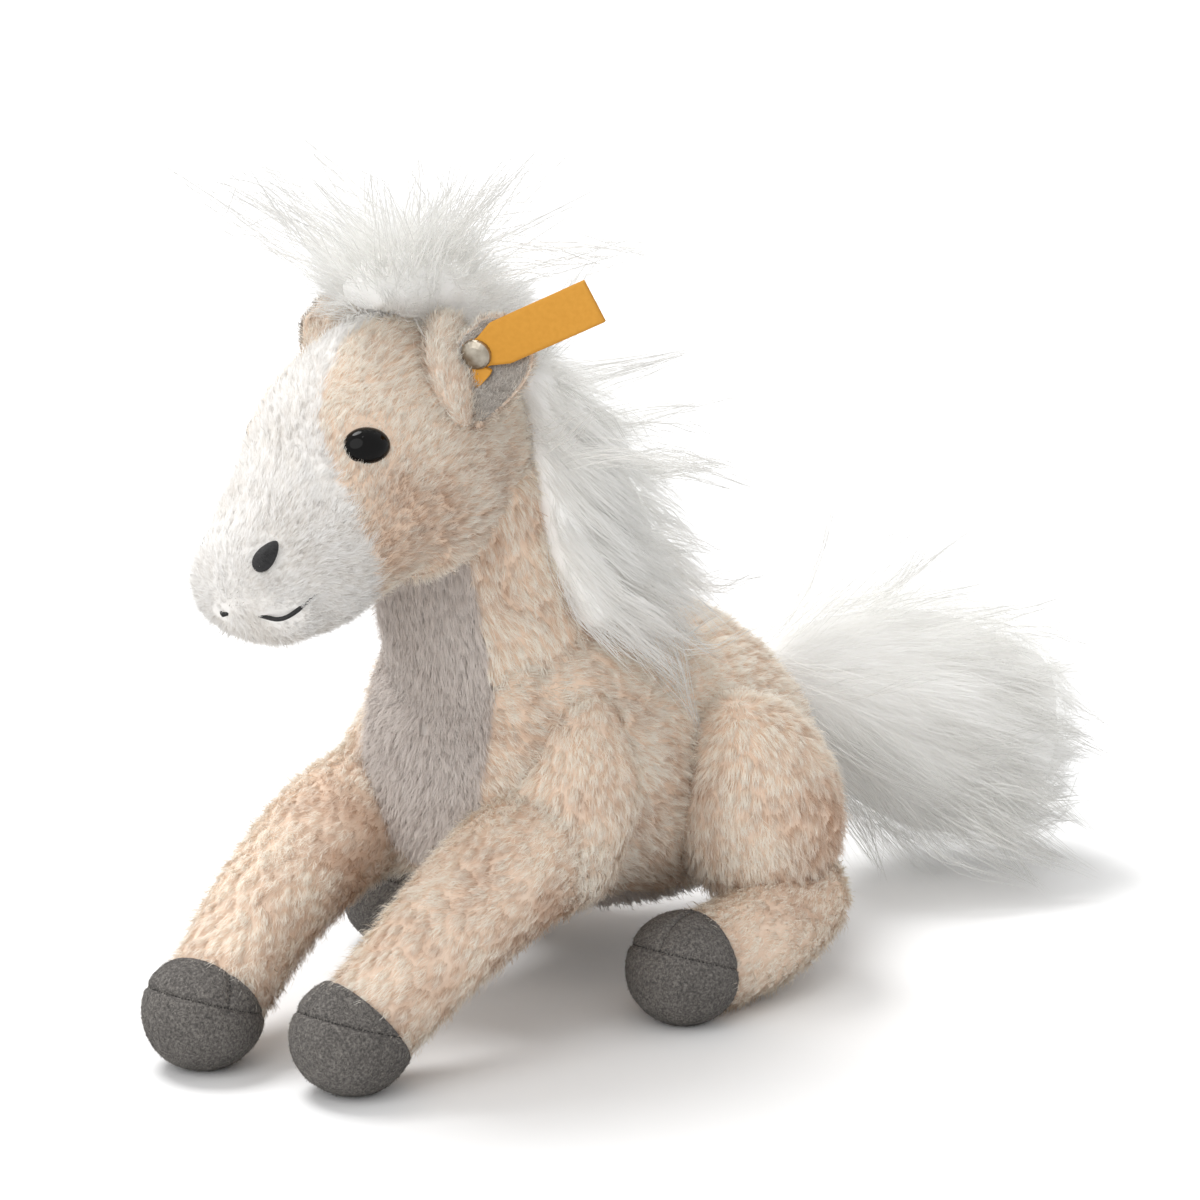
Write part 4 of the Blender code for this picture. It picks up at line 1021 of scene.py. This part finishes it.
MUZZLE_PILE = Pile(WHITE_PILE, "white_plush", 3.2, 0.11, 8.0, lean=0.22, tuft=1.9, close=0.35, stray=0.28,
                   swell=0.2)
FOLD_PILE = Pile(TAN_PILE, "tan_plush", 3.4, 0.11, 7.5, lean=0.20, tuft=2.6, close=0.4, stray=0.3, down=0.2,
                 swell=0.5, inset=FOLD_INSET)
EAR_PILE = Pile(TAN_PILE, "tan_plush", 2.3, 0.12, 9.0, lean=0.46, tuft=2.0, close=0.3, stray=0.6, swell=0.2,
                inset=0.1)
NAP_PILE = Pile(GREY_NAP, "lining_grey", 1.3, 0.12, 16.0, lean=0.50, tuft=1.0, close=0.2, stray=0.6,
                swell=0.0, inset=0.0)
SUEDE_PILE = Pile(SUEDE_NAP, "hoof_suede", 0.8, 0.13, 7.4, lean=0.40, tuft=0.9, close=0.2, stray=0.8,
                  swell=0.0, inset=0.0)


# Body and head

def build_body():
    """Torso and neck: tan cover and pile, with the pale bib and belly let in."""
    skin("torso_cover", TORSO.grid, TORSO_BACKING, "torso", "torso",
         white=lambda p: in_bib(p) | in_belly(p))
    skin("neck_cover", NECK.grid, TORSO_BACKING, "torso", "neck", 0.3, in_bib)
    free_torso = outside(NECK, *FOREARMS.values(), *THIGHS.values())
    free_neck = outside(TORSO, HEAD)
    plush("torso_pile", TORSO.grid, BODY_PILE, 101, "torso",
          lambda p, n: free_torso(p, n) & ~in_bib(p) & ~in_belly(p))
    plush("neck_pile", NECK.grid, BODY_PILE, 102, "torso",
          lambda p, n: free_neck(p, n) & ~in_bib(p), flow=-1.0)
    bib = plush("bib_pile", TORSO.grid, CHEST_PILE, 103, "torso",
                lambda p, n: free_torso(p, n) & in_bib(p), flow=0.2)
    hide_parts("chest_panel")
    plush("throat_pile", NECK.grid, CHEST_PILE, 104, "torso",
          lambda p, n: free_neck(p, n) & in_bib(p), flow=-1.0)
    belly = plush("belly_pile", TORSO.grid, BELLY_PILE, 105, "torso",
                  lambda p, n: free_torso(p, n) & in_belly(p) & ~in_bib(p))
    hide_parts("belly_panel")


def build_mouth():
    """The stitched mouth: a thread that lies deep in the pile but for two places.

    Its line, which is given back, is where rays from the muzzle's middle leave the head, smoothed twice.
    """
    share = np.linspace(-1, 1, MOUTH_POINTS)
    turn = np.radians(MOUTH_TURN) * share
    slope = MOUTH_SLOPE + MOUTH_CURL * share ** 2
    smile = HEAD.leaves(MUZZLE_MIDDLE, np.stack([np.sin(turn), -np.cos(turn), slope], -1) + MUZZLE_MIDDLE)
    inward = unit(MUZZLE_MIDDLE - smile)
    for _ in range(2):
        smile[1:-1] = (smile[:-2] + smile[1:-1] * 2 + smile[2:]) / 4
    shown = 0.0
    for amount, middle, reach in MOUTH_SHOWN:
        shown = shown + amount * np.exp(-((share[:, None] - middle) / reach) ** 2)
    path = smile + inward * (MOUTH_DEPTH - MOUTH_LIFT * shown)
    line = tube("mouth_line", path, MOUTH_RADIUS, STITCH_BLACK, "head")
    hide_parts("mouth_stitch")
    return smile


def build_head():
    """Head: tan pile, white blaze and muzzle, the pile parted at eyes, nostrils and mouth."""
    skin("head_cover", HEAD.grid, HEAD_BACKING, "head", "head", 0.3,
         lambda p: in_muzzle(p) | in_blaze(p))
    free = outside(NECK)
    eyes = [(on_side(EYE_SEAT, side), EYE_CLEAR_RADIUS) for side in SIDE_SIGNS]
    # The head's pile is tinted paler above the crown's level: painted light on the top of the head
    plush("head_pile", HEAD.grid, FACE_PILE, 111, "head",
          lambda p, n: free(p, n) & ~in_muzzle(p) & ~in_blaze(p), flow=-1.0, avoid=eyes,
          painted_light=lambda p: CROWN_PAINTED_LIGHT * np.clip((p[:, 2] - CROWN_LEVEL) / CROWN_FADE, 0, 1))
    blaze = plush("blaze_pile", HEAD.grid, BLAZE_PILE, 112, "head",
                  lambda p, n: in_blaze(p) & ~in_muzzle(p), flow=-1.0, avoid=eyes)
    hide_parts("blaze_panel")
    smile = build_mouth()
    parted = [(seat, NOSTRIL_CLEAR_RADIUS) for seat in NOSTRIL_SEATS.values()]
    parted += [(smile[k], MOUTH_CLEAR_RADIUS) for k in MOUTH_GAPS]
    muzzle = plush("muzzle_pile", HEAD.grid, MUZZLE_PILE, 113, "head", lambda p, n: in_muzzle(p),
                   flow=-1.0, avoid=parted,
                   bare=[(centre, radius * BARE_SHARE) for centre, radius in parted])
    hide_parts("muzzle")
    for side in SIDE_SIGNS:
        build_eye(side)
        finish_node(f"eye_washer_{side}", WASHER)
        build_nostril(side)


def build_eye(side):
    """A smooth plastic dome, closed behind.

    It is the radius times cosine outward and the rise times sine along the eye's axis.
    """
    seat = on_side(EYE_SEAT, side)
    normal = unit(EYE_FACING * (SIDE_SIGNS[side], 1, 1))
    first = flattened(UP, normal)
    turn = np.radians(np.linspace(-60, NEAR_POLE, 40))[:, None]
    angle = angles(64)[None]
    wide = EYE_RADIUS * np.cos(np.maximum(turn, 0)) * np.clip(1 + turn, 0.05, 1)
    high = np.where(turn > 0, EYE_RISE * np.sin(turn), EYE_BACK * turn)
    grid = placed(seat - normal * EYE_SINK[side], (wide * np.cos(angle) * EYE_HEIGHT_SHARE, first),
                  (wide * np.sin(angle), np.cross(normal, first)), (high + 0 * angle, normal))
    item = closed(f"eye_{side}_dome", grid, EYE_BLACK)
    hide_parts(f"eye_{side}")
    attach(item, "head")


def build_nostril(side):
    """Satin stitch: an oval dome, lower by the square of the radius, ribbed across by its threads."""
    sign = SIDE_SIGNS[side]
    normal = unit(NOSTRIL_FACING * (sign, 1, 1))
    tall = flattened(UP, normal)
    wide = np.cross(normal, tall)
    turn = math.radians(NOSTRIL_TILT) * sign
    tall, wide = tall * math.cos(turn) + wide * math.sin(turn), wide * math.cos(turn) - tall * math.sin(turn)
    share = np.linspace(0.03, 1.0, 26)[:, None]
    angle = angles(64)[None]
    x = NOSTRIL_HALF_LENGTH * share * np.cos(angle)
    y = NOSTRIL_HALF_WIDTH * share * np.sin(angle) * (1 - NOSTRIL_POINTING * share * np.cos(angle))
    high = (NOSTRIL_RISE * (1 - share ** 2)
            + THREAD_RISE * np.cos(2 * math.pi * x / THREAD_PITCH) * (1 - share ** 6))
    grid = placed(NOSTRIL_SEATS[side], (x, tall), (y, wide), (high - 0.1, normal))
    low = grid[-1:] - normal * NOSTRIL_DEPTH
    centre = low.mean(axis=1, keepdims=True)
    grid = np.vstack([grid, low, centre + (low - centre) * 0.05])
    item = closed(f"nostril_{side}_stitch", grid[::-1], STITCH_BLACK)
    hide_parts(f"nostril_{side}")
    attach(item, "head")


# Legs and hooves

def leg_end(stations, side, reach=0.0):
    """The last centre of a leg, and the leg's direction there."""
    rows = mirrored(stations, side, reach)[:, :3]
    return rows[-1], unit(rows[-1] - rows[-2])


def build_legs():
    """Front and hind legs with their pile; the covers stop short of the hooves."""
    for offset, side in enumerate(SIDE_SIGNS):
        arm, thigh, shank = FOREARMS[side], THIGHS[side], SHANKS[side]
        body = f"front_leg_{side}"
        end = leg_end(FOREARM_STATIONS, side, FRONT_REACH[side])
        build_hoof(f"front_{side}", body, *end)
        skin(f"front_leg_{side}_cover", arm.grid[:-HOOF_ROWS], TAN_BACKING, body, body)
        plush(f"front_leg_{side}_pile", arm.grid, LEG_PILE, 121 + offset, body,
              both(outside(TORSO, margin=-3.0), behind_cuff(*end)))
        body = f"hind_leg_{side}"
        skin(f"thigh_{side}_cover", thigh.grid, TAN_BACKING, body, f"thigh_{side}")
        end = leg_end(SHANK_STATIONS, side)
        build_hoof(f"hind_{side}", body, *end)
        skin(f"shank_{side}_cover", shank.grid[:-HOOF_ROWS], TAN_BACKING, body, f"shank_{side}")
        plush(f"thigh_{side}_pile", thigh.grid, BODY_PILE, 131 + offset, body,
              outside(shank, TORSO, margin=-3.0), flow=-1.0)
        plush(f"shank_{side}_pile", shank.grid, LEG_PILE, 133 + offset, body,
              both(outside(thigh), behind_cuff(*end)))


def build_shoulders():
    """The plush that runs from the withers' side over each shoulder, following torso and leg alike."""
    for offset, (side, sign) in enumerate(SIDE_SIGNS.items()):
        mirror = (sign * SHOULDER_SPREAD[side], 1, 1, 1, 1)
        shape = Form(np.array(SHOULDER_STATIONS) * mirror, (10.0, 17.0))
        inner = shape.grid - directions(shape.grid)[1] * SKIN_INSET
        cover = stuffed(closed(f"shoulder_{side}_cover", inner, TAN_BACKING))
        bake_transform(cover)
        pile = plush(f"shoulder_{side}_pile", shape.grid, BODY_PILE, 161 + offset, None,
                     outside(TORSO, FOREARMS[side], margin=-1.0))
        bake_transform(pile)


def tube(name, path, radius, material, body):
    """A round thread along a path: the sections of a form with one radius."""
    rows = np.hstack([path, np.full((len(path), 2), radius)])
    shape = Form(rows, (radius, radius), across=UP, per_span=2, sides=12)
    item = closed(name, shape.grid, material)
    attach(item, body)
    return item


# Triangles of a spindle: its start is point 0, its ring points 1 to 4, and its end point 5
SPINDLE_FACES = np.array([
    (1, 2, 0), (2, 3, 0), (3, 4, 0), (4, 1, 0),
    (2, 1, 5), (3, 2, 5), (4, 3, 5), (1, 4, 5),
])


def stitches(name, path, outward, body):
    """Short threads laid end to end along a seam: each an eight-sided spindle between two path points."""
    a, b = path[:-1], path[1:]
    n = unit(outward[:-1] + outward[1:])
    w = np.cross(unit(b - a), n)
    middle = (a + b) / 2 + n * STITCH_SIZE * 0.5
    ring = [middle + step * STITCH_SIZE for step in (w, n, -w, -n)]
    points = np.stack([a * 0.88 + b * 0.12, *ring, a * 0.12 + b * 0.88], axis=1)
    faces = (np.arange(len(points))[:, None, None] * 6 + SPINDLE_FACES).reshape(-1, 3).tolist()
    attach(put(name, points.reshape(-1, 3), faces, SEAM_THREAD), body)


def build_hoof(name, body, end, forward):
    """A stuffed suede hoof: an ellipsoid about its seam's direction, pinched at the seams, flat below."""
    limb, side = name.split("_")
    normal = np.array([0.0, -math.sin(HOOF_SEAM_TILT), math.cos(HOOF_SEAM_TILT)])
    toe = flattened(np.array([*TOE_SEAM_DIRECTIONS[name], 0.0]), normal)
    beside = np.cross(normal, toe)
    seam_turn = math.asin(HOOF_SEAM_RISE / HOOF_RADII[2])

    def surface(turn, angle):
        """Centre plus radii times the direction at a turn above the seam's plane and an angle from the toe.

        Each seam pinches the surface in by a bell curve of the distance from it.
        """
        direction = placed(0.0, (np.sin(turn), normal), (np.cos(turn) * np.cos(angle), toe),
                           (np.cos(turn) * np.sin(angle), beside))
        pinch = SEAM_PINCH * np.exp(-((turn - seam_turn) / 0.045) ** 2)
        over = (turn > seam_turn) * (np.cos(turn) > 0.2)
        pinch = pinch + SEAM_PINCH * np.exp(-(np.sin(angle / 2) * 2 * np.cos(turn) / 0.05) ** 2) * over
        swell = HOOF_SWELL * soft_noise(end + direction * 14.0, 7.0, 91)
        points = end + direction * np.array(HOOF_RADII) * (1.0 - pinch + swell)[..., None]
        behind = (points - end) @ forward + HOOF_CUFF_BACK
        points = points - np.minimum(behind, 0)[..., None] * forward * HOOF_BACK_FLATTENING
        points[..., 2] = np.maximum(points[..., 2], 0.0)
        return points

    def rings(low, high, count):
        """The surface between two turns, all the way round."""
        return surface(*np.broadcast_arrays(np.linspace(low, high, count)[:, None], angles(96)[None]))

    top = math.radians(88)
    middle = normal * HOOF_SEAM_RISE
    for part, grid in (("upper", rings(seam_turn, top, 40)), ("sole", rings(-top, seam_turn, 56))):
        edge = grid[:1] if part == "upper" else grid[-1:]
        lid = end + middle + (edge - end - middle) * LID_SHARES[:, None, None]
        grid = np.vstack([lid[::-1], grid]) if part == "upper" else np.vstack([grid, lid])
        item = closed(f"{name}_hoof_{part}", grid, SUEDE)
        stuffed(item, node=f"{limb}_hoof_{side}_{part}", body=body)
    seed = 200 + sorted(TOE_SEAM_DIRECTIONS).index(name)
    plush(f"{name}_hoof_nap", rings(-top, top, 60), SUEDE_PILE, seed, body,
          lambda p, n: ((p - end) @ forward > -HOOF_CUFF_BACK) & (p[:, 2] > 0.3), flow=-1.0)
    seam = surface(np.full(64, seam_turn), np.linspace(-2.0, 2.0, 64))
    stitches(f"{name}_hoof_seam", seam, unit(seam - end), body)
    toe_seam = surface(np.linspace(seam_turn, math.radians(74), 18), np.zeros(18))
    stitches(f"{name}_hoof_toe_seam", toe_seam, unit(toe_seam - end), body)


# Ears and ribbon

def leaf_axes(side):
    """The soft ear's axes and root, from its pinched end in the side of the head to its rounded top."""
    mirror = np.array([SIDE_SIGNS[side], 1.0, 1.0])
    shift = np.array([HEAD_MIDDLE * (1 - SIDE_SIGNS[side]), 0.0, 0.0])
    root, tip = LEAF_ROOT * mirror + shift, LEAF_TIP * mirror + shift
    along = unit(tip - root)
    facing = flattened(LEAF_FACINGS[side], along)
    return along, np.cross(along, facing), facing, root


def leaf(side, width_share, thickness, start, length, lift):
    """An ear's leaf: flat sections, their edges curled toward the open face by the square of the width."""
    along, wide, facing, root = leaf_axes(side)
    rows = [(*(root + along * LEAF_LENGTH * (start + length * s) + facing * lift),
             EAR_HALF_WIDTH * width_share * w, thickness) for s, w in EAR_SHARES]
    shape = Form(rows, (thickness, 3.0 * length), across=wide, sides=48)
    lateral = ((shape.grid - root) @ wide) / EAR_HALF_WIDTH
    shape.grid = shape.grid + facing * (EAR_CUP * lateral ** 2)[..., None]
    return shape


def build_ears():
    """Ears: a tan plush leaf with a grey napped lining, behind a fold of the head's plush."""
    head_shift = np.array([HEAD_MIDDLE, 0, 0, 0, 0])
    for offset, side in enumerate(SIDE_SIGNS):
        along, wide, facing, root = leaf_axes(side)
        body = f"ear_{side}"
        outer = leaf(side, 1.0, EAR_HALF_THICKNESS, 0.0, 1.0, 0.0)
        lining = leaf(side, 0.90, LINING_HALF_THICKNESS, 0.02, 0.97, EAR_HALF_THICKNESS - 0.4)
        item = closed(f"{body}_cover", outer.grid, TAN_BACKING)
        stuffed(item, node=body, body=body)
        item = closed(f"{body}_lining", lining.grid, GREY_BACKING)
        stuffed(item, node=f"ear_lining_{side}", body=body)

        def back_face(points, outward):
            """Roots on the back, the rim and the pinched root: all that the lining leaves bare."""
            share = ((points - root) @ along) / LEAF_LENGTH
            edge = np.interp(share, *np.array(EAR_SHARES).T) * EAR_HALF_WIDTH
            beyond = np.abs((points - root) @ wide) > RIM_SHARE * edge
            return (outward @ facing < 0.93) | beyond | (share < 0.06)

        plush(f"{body}_pile", outer.grid, EAR_PILE, 141 + offset, body, back_face)
        plush(f"{body}_nap", lining.grid, NAP_PILE, 143 + offset, body, lambda p, n: n @ facing > 0.0)
        stations = (np.array(EAR_FOLD_STATIONS) - head_shift) * (SIDE_SIGNS[side], 1, 1, 1, 1) + head_shift
        fold = Form(stations, (3.0, 3.0), sides=40)
        inner = fold.grid - directions(fold.grid)[1] * FOLD_INSET
        item = closed(f"ear_fold_{side}_cover", inner, TAN_BACKING)
        stuffed(item, body="head")
        plush(f"ear_fold_{side}_pile", fold.grid, FOLD_PILE, 145 + offset, "head", outside(HEAD))
    for node in ("ear_button", "ear_button_back"):
        finish_node(node, PEWTER)


def finish_node(node, material):
    """A CAD node with its own procedural finish."""
    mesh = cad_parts[node].data
    mesh.materials.clear()
    mesh.materials.append(material)


def build_ribbon():
    """Blank woven ribbon, folded double: its width tapers at the pinched tail, where the two layers meet."""
    along = unit(EAR_DIRECTION)
    facing = flattened(EAR_FACING, along)
    seat = EAR_ROOT + along * EAR_LENGTH * BUTTON_SHARE + facing * RIBBON_LIFT
    run = flattened(RIBBON_DIRECTION, facing)
    upper, lower = RIBBON_LAYERS
    reach = np.concatenate([np.linspace(RIBBON_LENGTH, -RIBBON_TAIL, 46),
                            np.linspace(-RIBBON_TAIL, RIBBON_LENGTH, 46)[1:]])
    layer = np.concatenate([np.full(46, upper), np.full(45, lower)])
    layer[42:49] = np.linspace(upper, lower, 7)
    taper = np.interp(reach, *np.array(RIBBON_TAPER).T)
    points = 13
    x = np.repeat(reach[:, None], points, 1)
    y = np.linspace(-1, 1, points)[None] * RIBBON_WIDTH / 2 * taper[:, None] - 0.8 * (1 - taper[:, None])
    wave = 0.55 * np.sin(x / 5.5 + 0.6) * np.exp(-((x + 1.0) / 9.0) ** 2) + 0.25 * np.sin(x / 9.0 + y / 6.0)
    swing = math.radians(RIBBON_SWING) * np.clip(-x / 3.0, 0, 1)
    z = layer[:, None] + wave + RIBBON_TAIL_RISE * np.clip(-x / RIBBON_TAIL, 0, 1)
    grid = placed(seat, (x * np.cos(swing) - y * np.sin(swing), run),
                  (x * np.sin(swing) + y * np.cos(swing), np.cross(facing, run)), (z, facing))
    r, s = np.meshgrid(np.arange(len(reach) - 1) * points, np.arange(points - 1), indexing="ij")
    corner = r + s
    faces = np.stack([corner, corner + 1, corner + points + 1, corner + points], -1).reshape(-1, 4)
    item = put("ribbon_strip", grid.reshape(-1, 3), faces[:, ::-1].tolist(), RIBBON)
    thick = item.modifiers.new("thickness", "SOLIDIFY")
    thick.thickness = RIBBON_THICKNESS * MM
    thick.offset = 0.0
    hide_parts("ribbon_tag")
    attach(item, "ribbon")


# Hair

def build_forelock():
    """A low dense band behind the forehead, hair over the poll, and locks that fan out all round."""
    rng = np.random.default_rng(301)
    core = Form(np.array(FORELOCK_STATIONS) * (1, 1, 1, 0.72, 0.60) + FORELOCK_SHIFT, (5.0, 4.0))
    skin("forelock_core", core.grid, HAIR_BACKING, "head", "forelock")
    root, _, outward = scatter(core.grid, 1.9, rng)
    root, outward = rows_of(outward[:, 2] > -0.85, root, outward)
    spray = outward * 0.5 + unit(root - np.array([0.0, -75.0, 150.0])) + np.array([-0.06, -0.02, 0.12])
    long_hair("forelock_hair", root, spray, FORELOCK, "head", seed=302, droop=(0.0, 0.0, -0.10), length=15.0,
              lock=3.2, close=0.85, spread=0.55, stray=0.14)
    poll = Form(POLL_STATIONS, (4.0, 6.0))
    stuffed(closed("poll_core", poll.grid, HAIR_BACKING), body="head")
    near, down, out = hair_roots(poll.grid, 1.5, rng, [HEAD], -0.5)
    field = down * 0.6 + out * 0.55 + np.array([0.12, 0.25, 0.10])
    long_hair("poll_hair", near, field, poll, "head", seed=308, droop=(0.05, 0.10, -0.20), length=15.0,
              lock=4.0, close=0.75, spread=0.40, stray=0.12)
    spikes = fan(FORELOCK_LOCKS, 4.0, 72.0, 0.4)
    start = np.array([0.0, -77.0, 172.0]) + spikes * (9.0, 9.0, 6.0)
    tip = start + spikes * (48.0 + 16.0 * rng.random((FORELOCK_LOCKS, 1)))
    tip[:, 0] = np.clip(tip[:, 0], -FORELOCK_REACH, FORELOCK_REACH)
    tip[:, 2] = np.minimum(tip[:, 2], FORELOCK_CEILING - 6.0 * rng.random(FORELOCK_LOCKS))
    locks("forelock_locks", start, tip, "head", seed=305, radius=3.2, per_lock=22, width=0.17)


def build_mane():
    """Hair down the back of the neck and over its left side, from behind the cheek to the withers."""
    rng = np.random.default_rng(311)
    core = Form((np.array(MANE_STATIONS) + MANE_SHIFT) * (1, 1, 1, 0.86, 0.86), (5.0, 5.0))
    skin("mane_core", core.grid, HAIR_BACKING, "torso", "mane")
    root, along, outward = hair_roots(core.grid, 1.2, rng, [NECK, TORSO], -1.0)
    field = along * 0.75 + outward * 0.35 + np.array([0.20, 0.16, 0.0])
    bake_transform(long_hair("mane_hair", root, field, MANE, seed=303, droop=(0.10, 0.0, -0.25), length=19.0,
                       lock=4.4, close=0.75, spread=0.30, stray=0.09, width=0.13))
    beside = Form(NECK_HAIR_STATIONS, (6.0, 8.0), across=NECK_HAIR_ACROSS)
    item = stuffed(closed("neck_hair_core", beside.grid, HAIR_BACKING))
    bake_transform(item)
    near, down, out = hair_roots(beside.grid, 1.3, rng, [NECK, TORSO], -0.5)
    field = down * 0.9 + out * 0.24 + np.array([0.22, 0.34, 0.0])
    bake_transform(long_hair("neck_hair", near, field, beside, seed=304, droop=(0.16, 0.16, -0.10), length=24.0,
                       lock=5.0, close=0.75, spread=0.24, stray=0.07, width=0.13))
    root, outward = np.vstack([root, near]), np.vstack([outward, out])
    chosen = rng.choice(len(root), MANE_LOCKS, replace=False)
    start = root[chosen]
    level = np.clip((start[:, 2:] - 95.0) / 50.0, 0, 1)
    way = outward[chosen] * 0.7 + np.array([0.45, 0.45, -0.75]) + level * np.array([0.1, 0.1, 0.75])
    tip = start + unit(way) * (24.0 + 18.0 * rng.random((MANE_LOCKS, 1)))
    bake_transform(locks("mane_locks", start, tip, seed=306, radius=2.2, per_lock=30))


def build_tail():
    """A full tail: strands swept back along its core, locks along it, and locks that spread from its end."""
    rng = np.random.default_rng(321)
    core = Form(np.array(TAIL_STATIONS) * (1, 1, 1, 0.91, 0.93) + (0, 0, 1.0, 0, 0), (4.0, 12.0))
    skin("tail_core", core.grid, HAIR_BACKING, "tail", "tail")
    root, along, outward = scatter(core.grid, 0.65, rng)
    start = np.array(TAIL_STATIONS[0][:3])
    axis = unit(np.array(TAIL_STATIONS[-1][:3]) - start)
    share = np.clip((root - start) @ axis / 80.0, 0, 1)[:, None]
    long_hair("tail_hair", root, along + outward * 0.24, TAIL, "tail", seed=304, droop=(0.06, 0.04, -0.04),
              length=17.0 + 30.0 * (1 - share), lock=6.0, close=0.70, spread=0.18, stray=0.06)
    chosen = rng.choice(len(root), TAIL_LOCKS, replace=False)
    reach = 24.0 + 34.0 * (1 - share[chosen])
    way = unit(along + outward * 0.42)[chosen]
    tip = root[chosen] + way * reach * (0.7 + 0.3 * rng.random((TAIL_LOCKS, 1)))
    tip[:, 1] = np.minimum(tip[:, 1], TAIL_REACH)
    locks("tail_locks", root[chosen], tip, "tail", seed=307, radius=3.0, per_lock=26)
    known = np.arange(len(TAIL_TIPS))
    place = np.linspace(0, len(TAIL_TIPS) - 1, TAIL_END_LOCKS)
    tip = np.stack([np.interp(place, known, column) for column in np.array(TAIL_TIPS).T], -1)
    tip = tip + rng.normal(0, 3.5, tip.shape)
    tip = tip * (1, 1, 0) + np.maximum(tip[:, 2:], 2.0) * UP
    begin = start + rng.normal(0, 6.0, tip.shape)
    begin = tip + (begin - tip) * (0.30 + 0.16 * rng.random((TAIL_END_LOCKS, 1)))
    locks("tail_end_locks", begin, tip, "tail", seed=309, radius=2.6, per_lock=20)


# Camera and stage

def build_camera():
    """The photograph's view: from the front left, slightly above, with a long lens."""
    azimuth, elevation = math.radians(VIEW_AZIMUTH), math.radians(VIEW_ELEVATION)
    back = Vector((math.sin(azimuth) * math.cos(elevation), -math.cos(azimuth) * math.cos(elevation),
                   math.sin(elevation)))
    data = bpy.data.cameras.new("view")
    data.sensor_width = 36.0
    data.lens = VIEW_LENS
    camera = bpy.data.objects.new("view", data)
    camera.location = Vector(VIEW_TARGET) + back * VIEW_DISTANCE
    camera.rotation_mode = "QUATERNION"
    camera.rotation_quaternion = (-back).to_track_quat("-Z", "Y")
    bpy.context.scene.collection.objects.link(camera)
    bpy.context.scene.camera = camera


def add_sun(name, direction, strength, size):
    """A sun from a direction, with its strength and its size in degrees."""
    data = bpy.data.lights.new(name, "SUN")
    data.energy = strength
    data.angle = math.radians(size)
    item = bpy.data.objects.new(name, data)
    item.rotation_mode = "QUATERNION"
    item.rotation_quaternion = Vector(direction).to_track_quat("Z", "Y")
    bpy.context.scene.collection.objects.link(item)


def build_world():
    """A surround that lights the horse softly, and shows white to the camera and in glints."""
    scene = bpy.context.scene
    scene.view_settings.view_transform = "Standard"
    world = bpy.data.worlds.new("studio")
    world.use_nodes = True
    scene.world = world
    tree = world.node_tree
    ground = tree.nodes["Background"]
    feed(tree, ground, {"Color": (0.62, 0.62, 0.62, 1.0)})
    white = tree.nodes.new("ShaderNodeBackground")
    feed(tree, white, {"Color": (1.0, 1.0, 1.0, 1.0)})
    path = tree.nodes.new("ShaderNodeLightPath")
    seen = path.outputs["Is Camera Ray"]
    for kind in ("Is Transmission Ray", "Is Glossy Ray"):
        either = tree.nodes.new("ShaderNodeMath")
        either.operation = "MAXIMUM"
        feed(tree, either, {0: seen, 1: path.outputs[kind]})
        seen = either.outputs["Value"]
    pick = tree.nodes.new("ShaderNodeMixShader")
    feed(tree, pick, {"Fac": seen, 1: ground.outputs["Background"], 2: white.outputs["Background"]})
    feed(tree, tree.nodes["World Output"], {"Surface": pick.outputs["Shader"]})


def build_floor():
    """A wide matt floor: white to the camera, and a little darker for the light that it throws back."""
    material, tree, shader = blank_material("floor")
    path = tree.nodes.new("ShaderNodeLightPath")
    tone = ramp(tree, path.outputs["Is Camera Ray"], [(226, 226, 226), (255, 255, 255)])
    feed(tree, shader, {"Base Color": tone, "Roughness": 1.0, "Specular IOR Level": 0.0})
    bpy.ops.mesh.primitive_plane_add(size=60.0, location=(0.0, 0.0, 0.0))
    floor = bpy.context.object
    floor.name = "floor"
    floor.data.materials.append(material)


build_camera()
build_world()
build_floor()
for light in LIGHTS:
    add_sun(*light)
build_body()
build_head()
build_legs()
build_shoulders()
build_ears()
build_ribbon()
build_forelock()
build_mane()
build_tail()
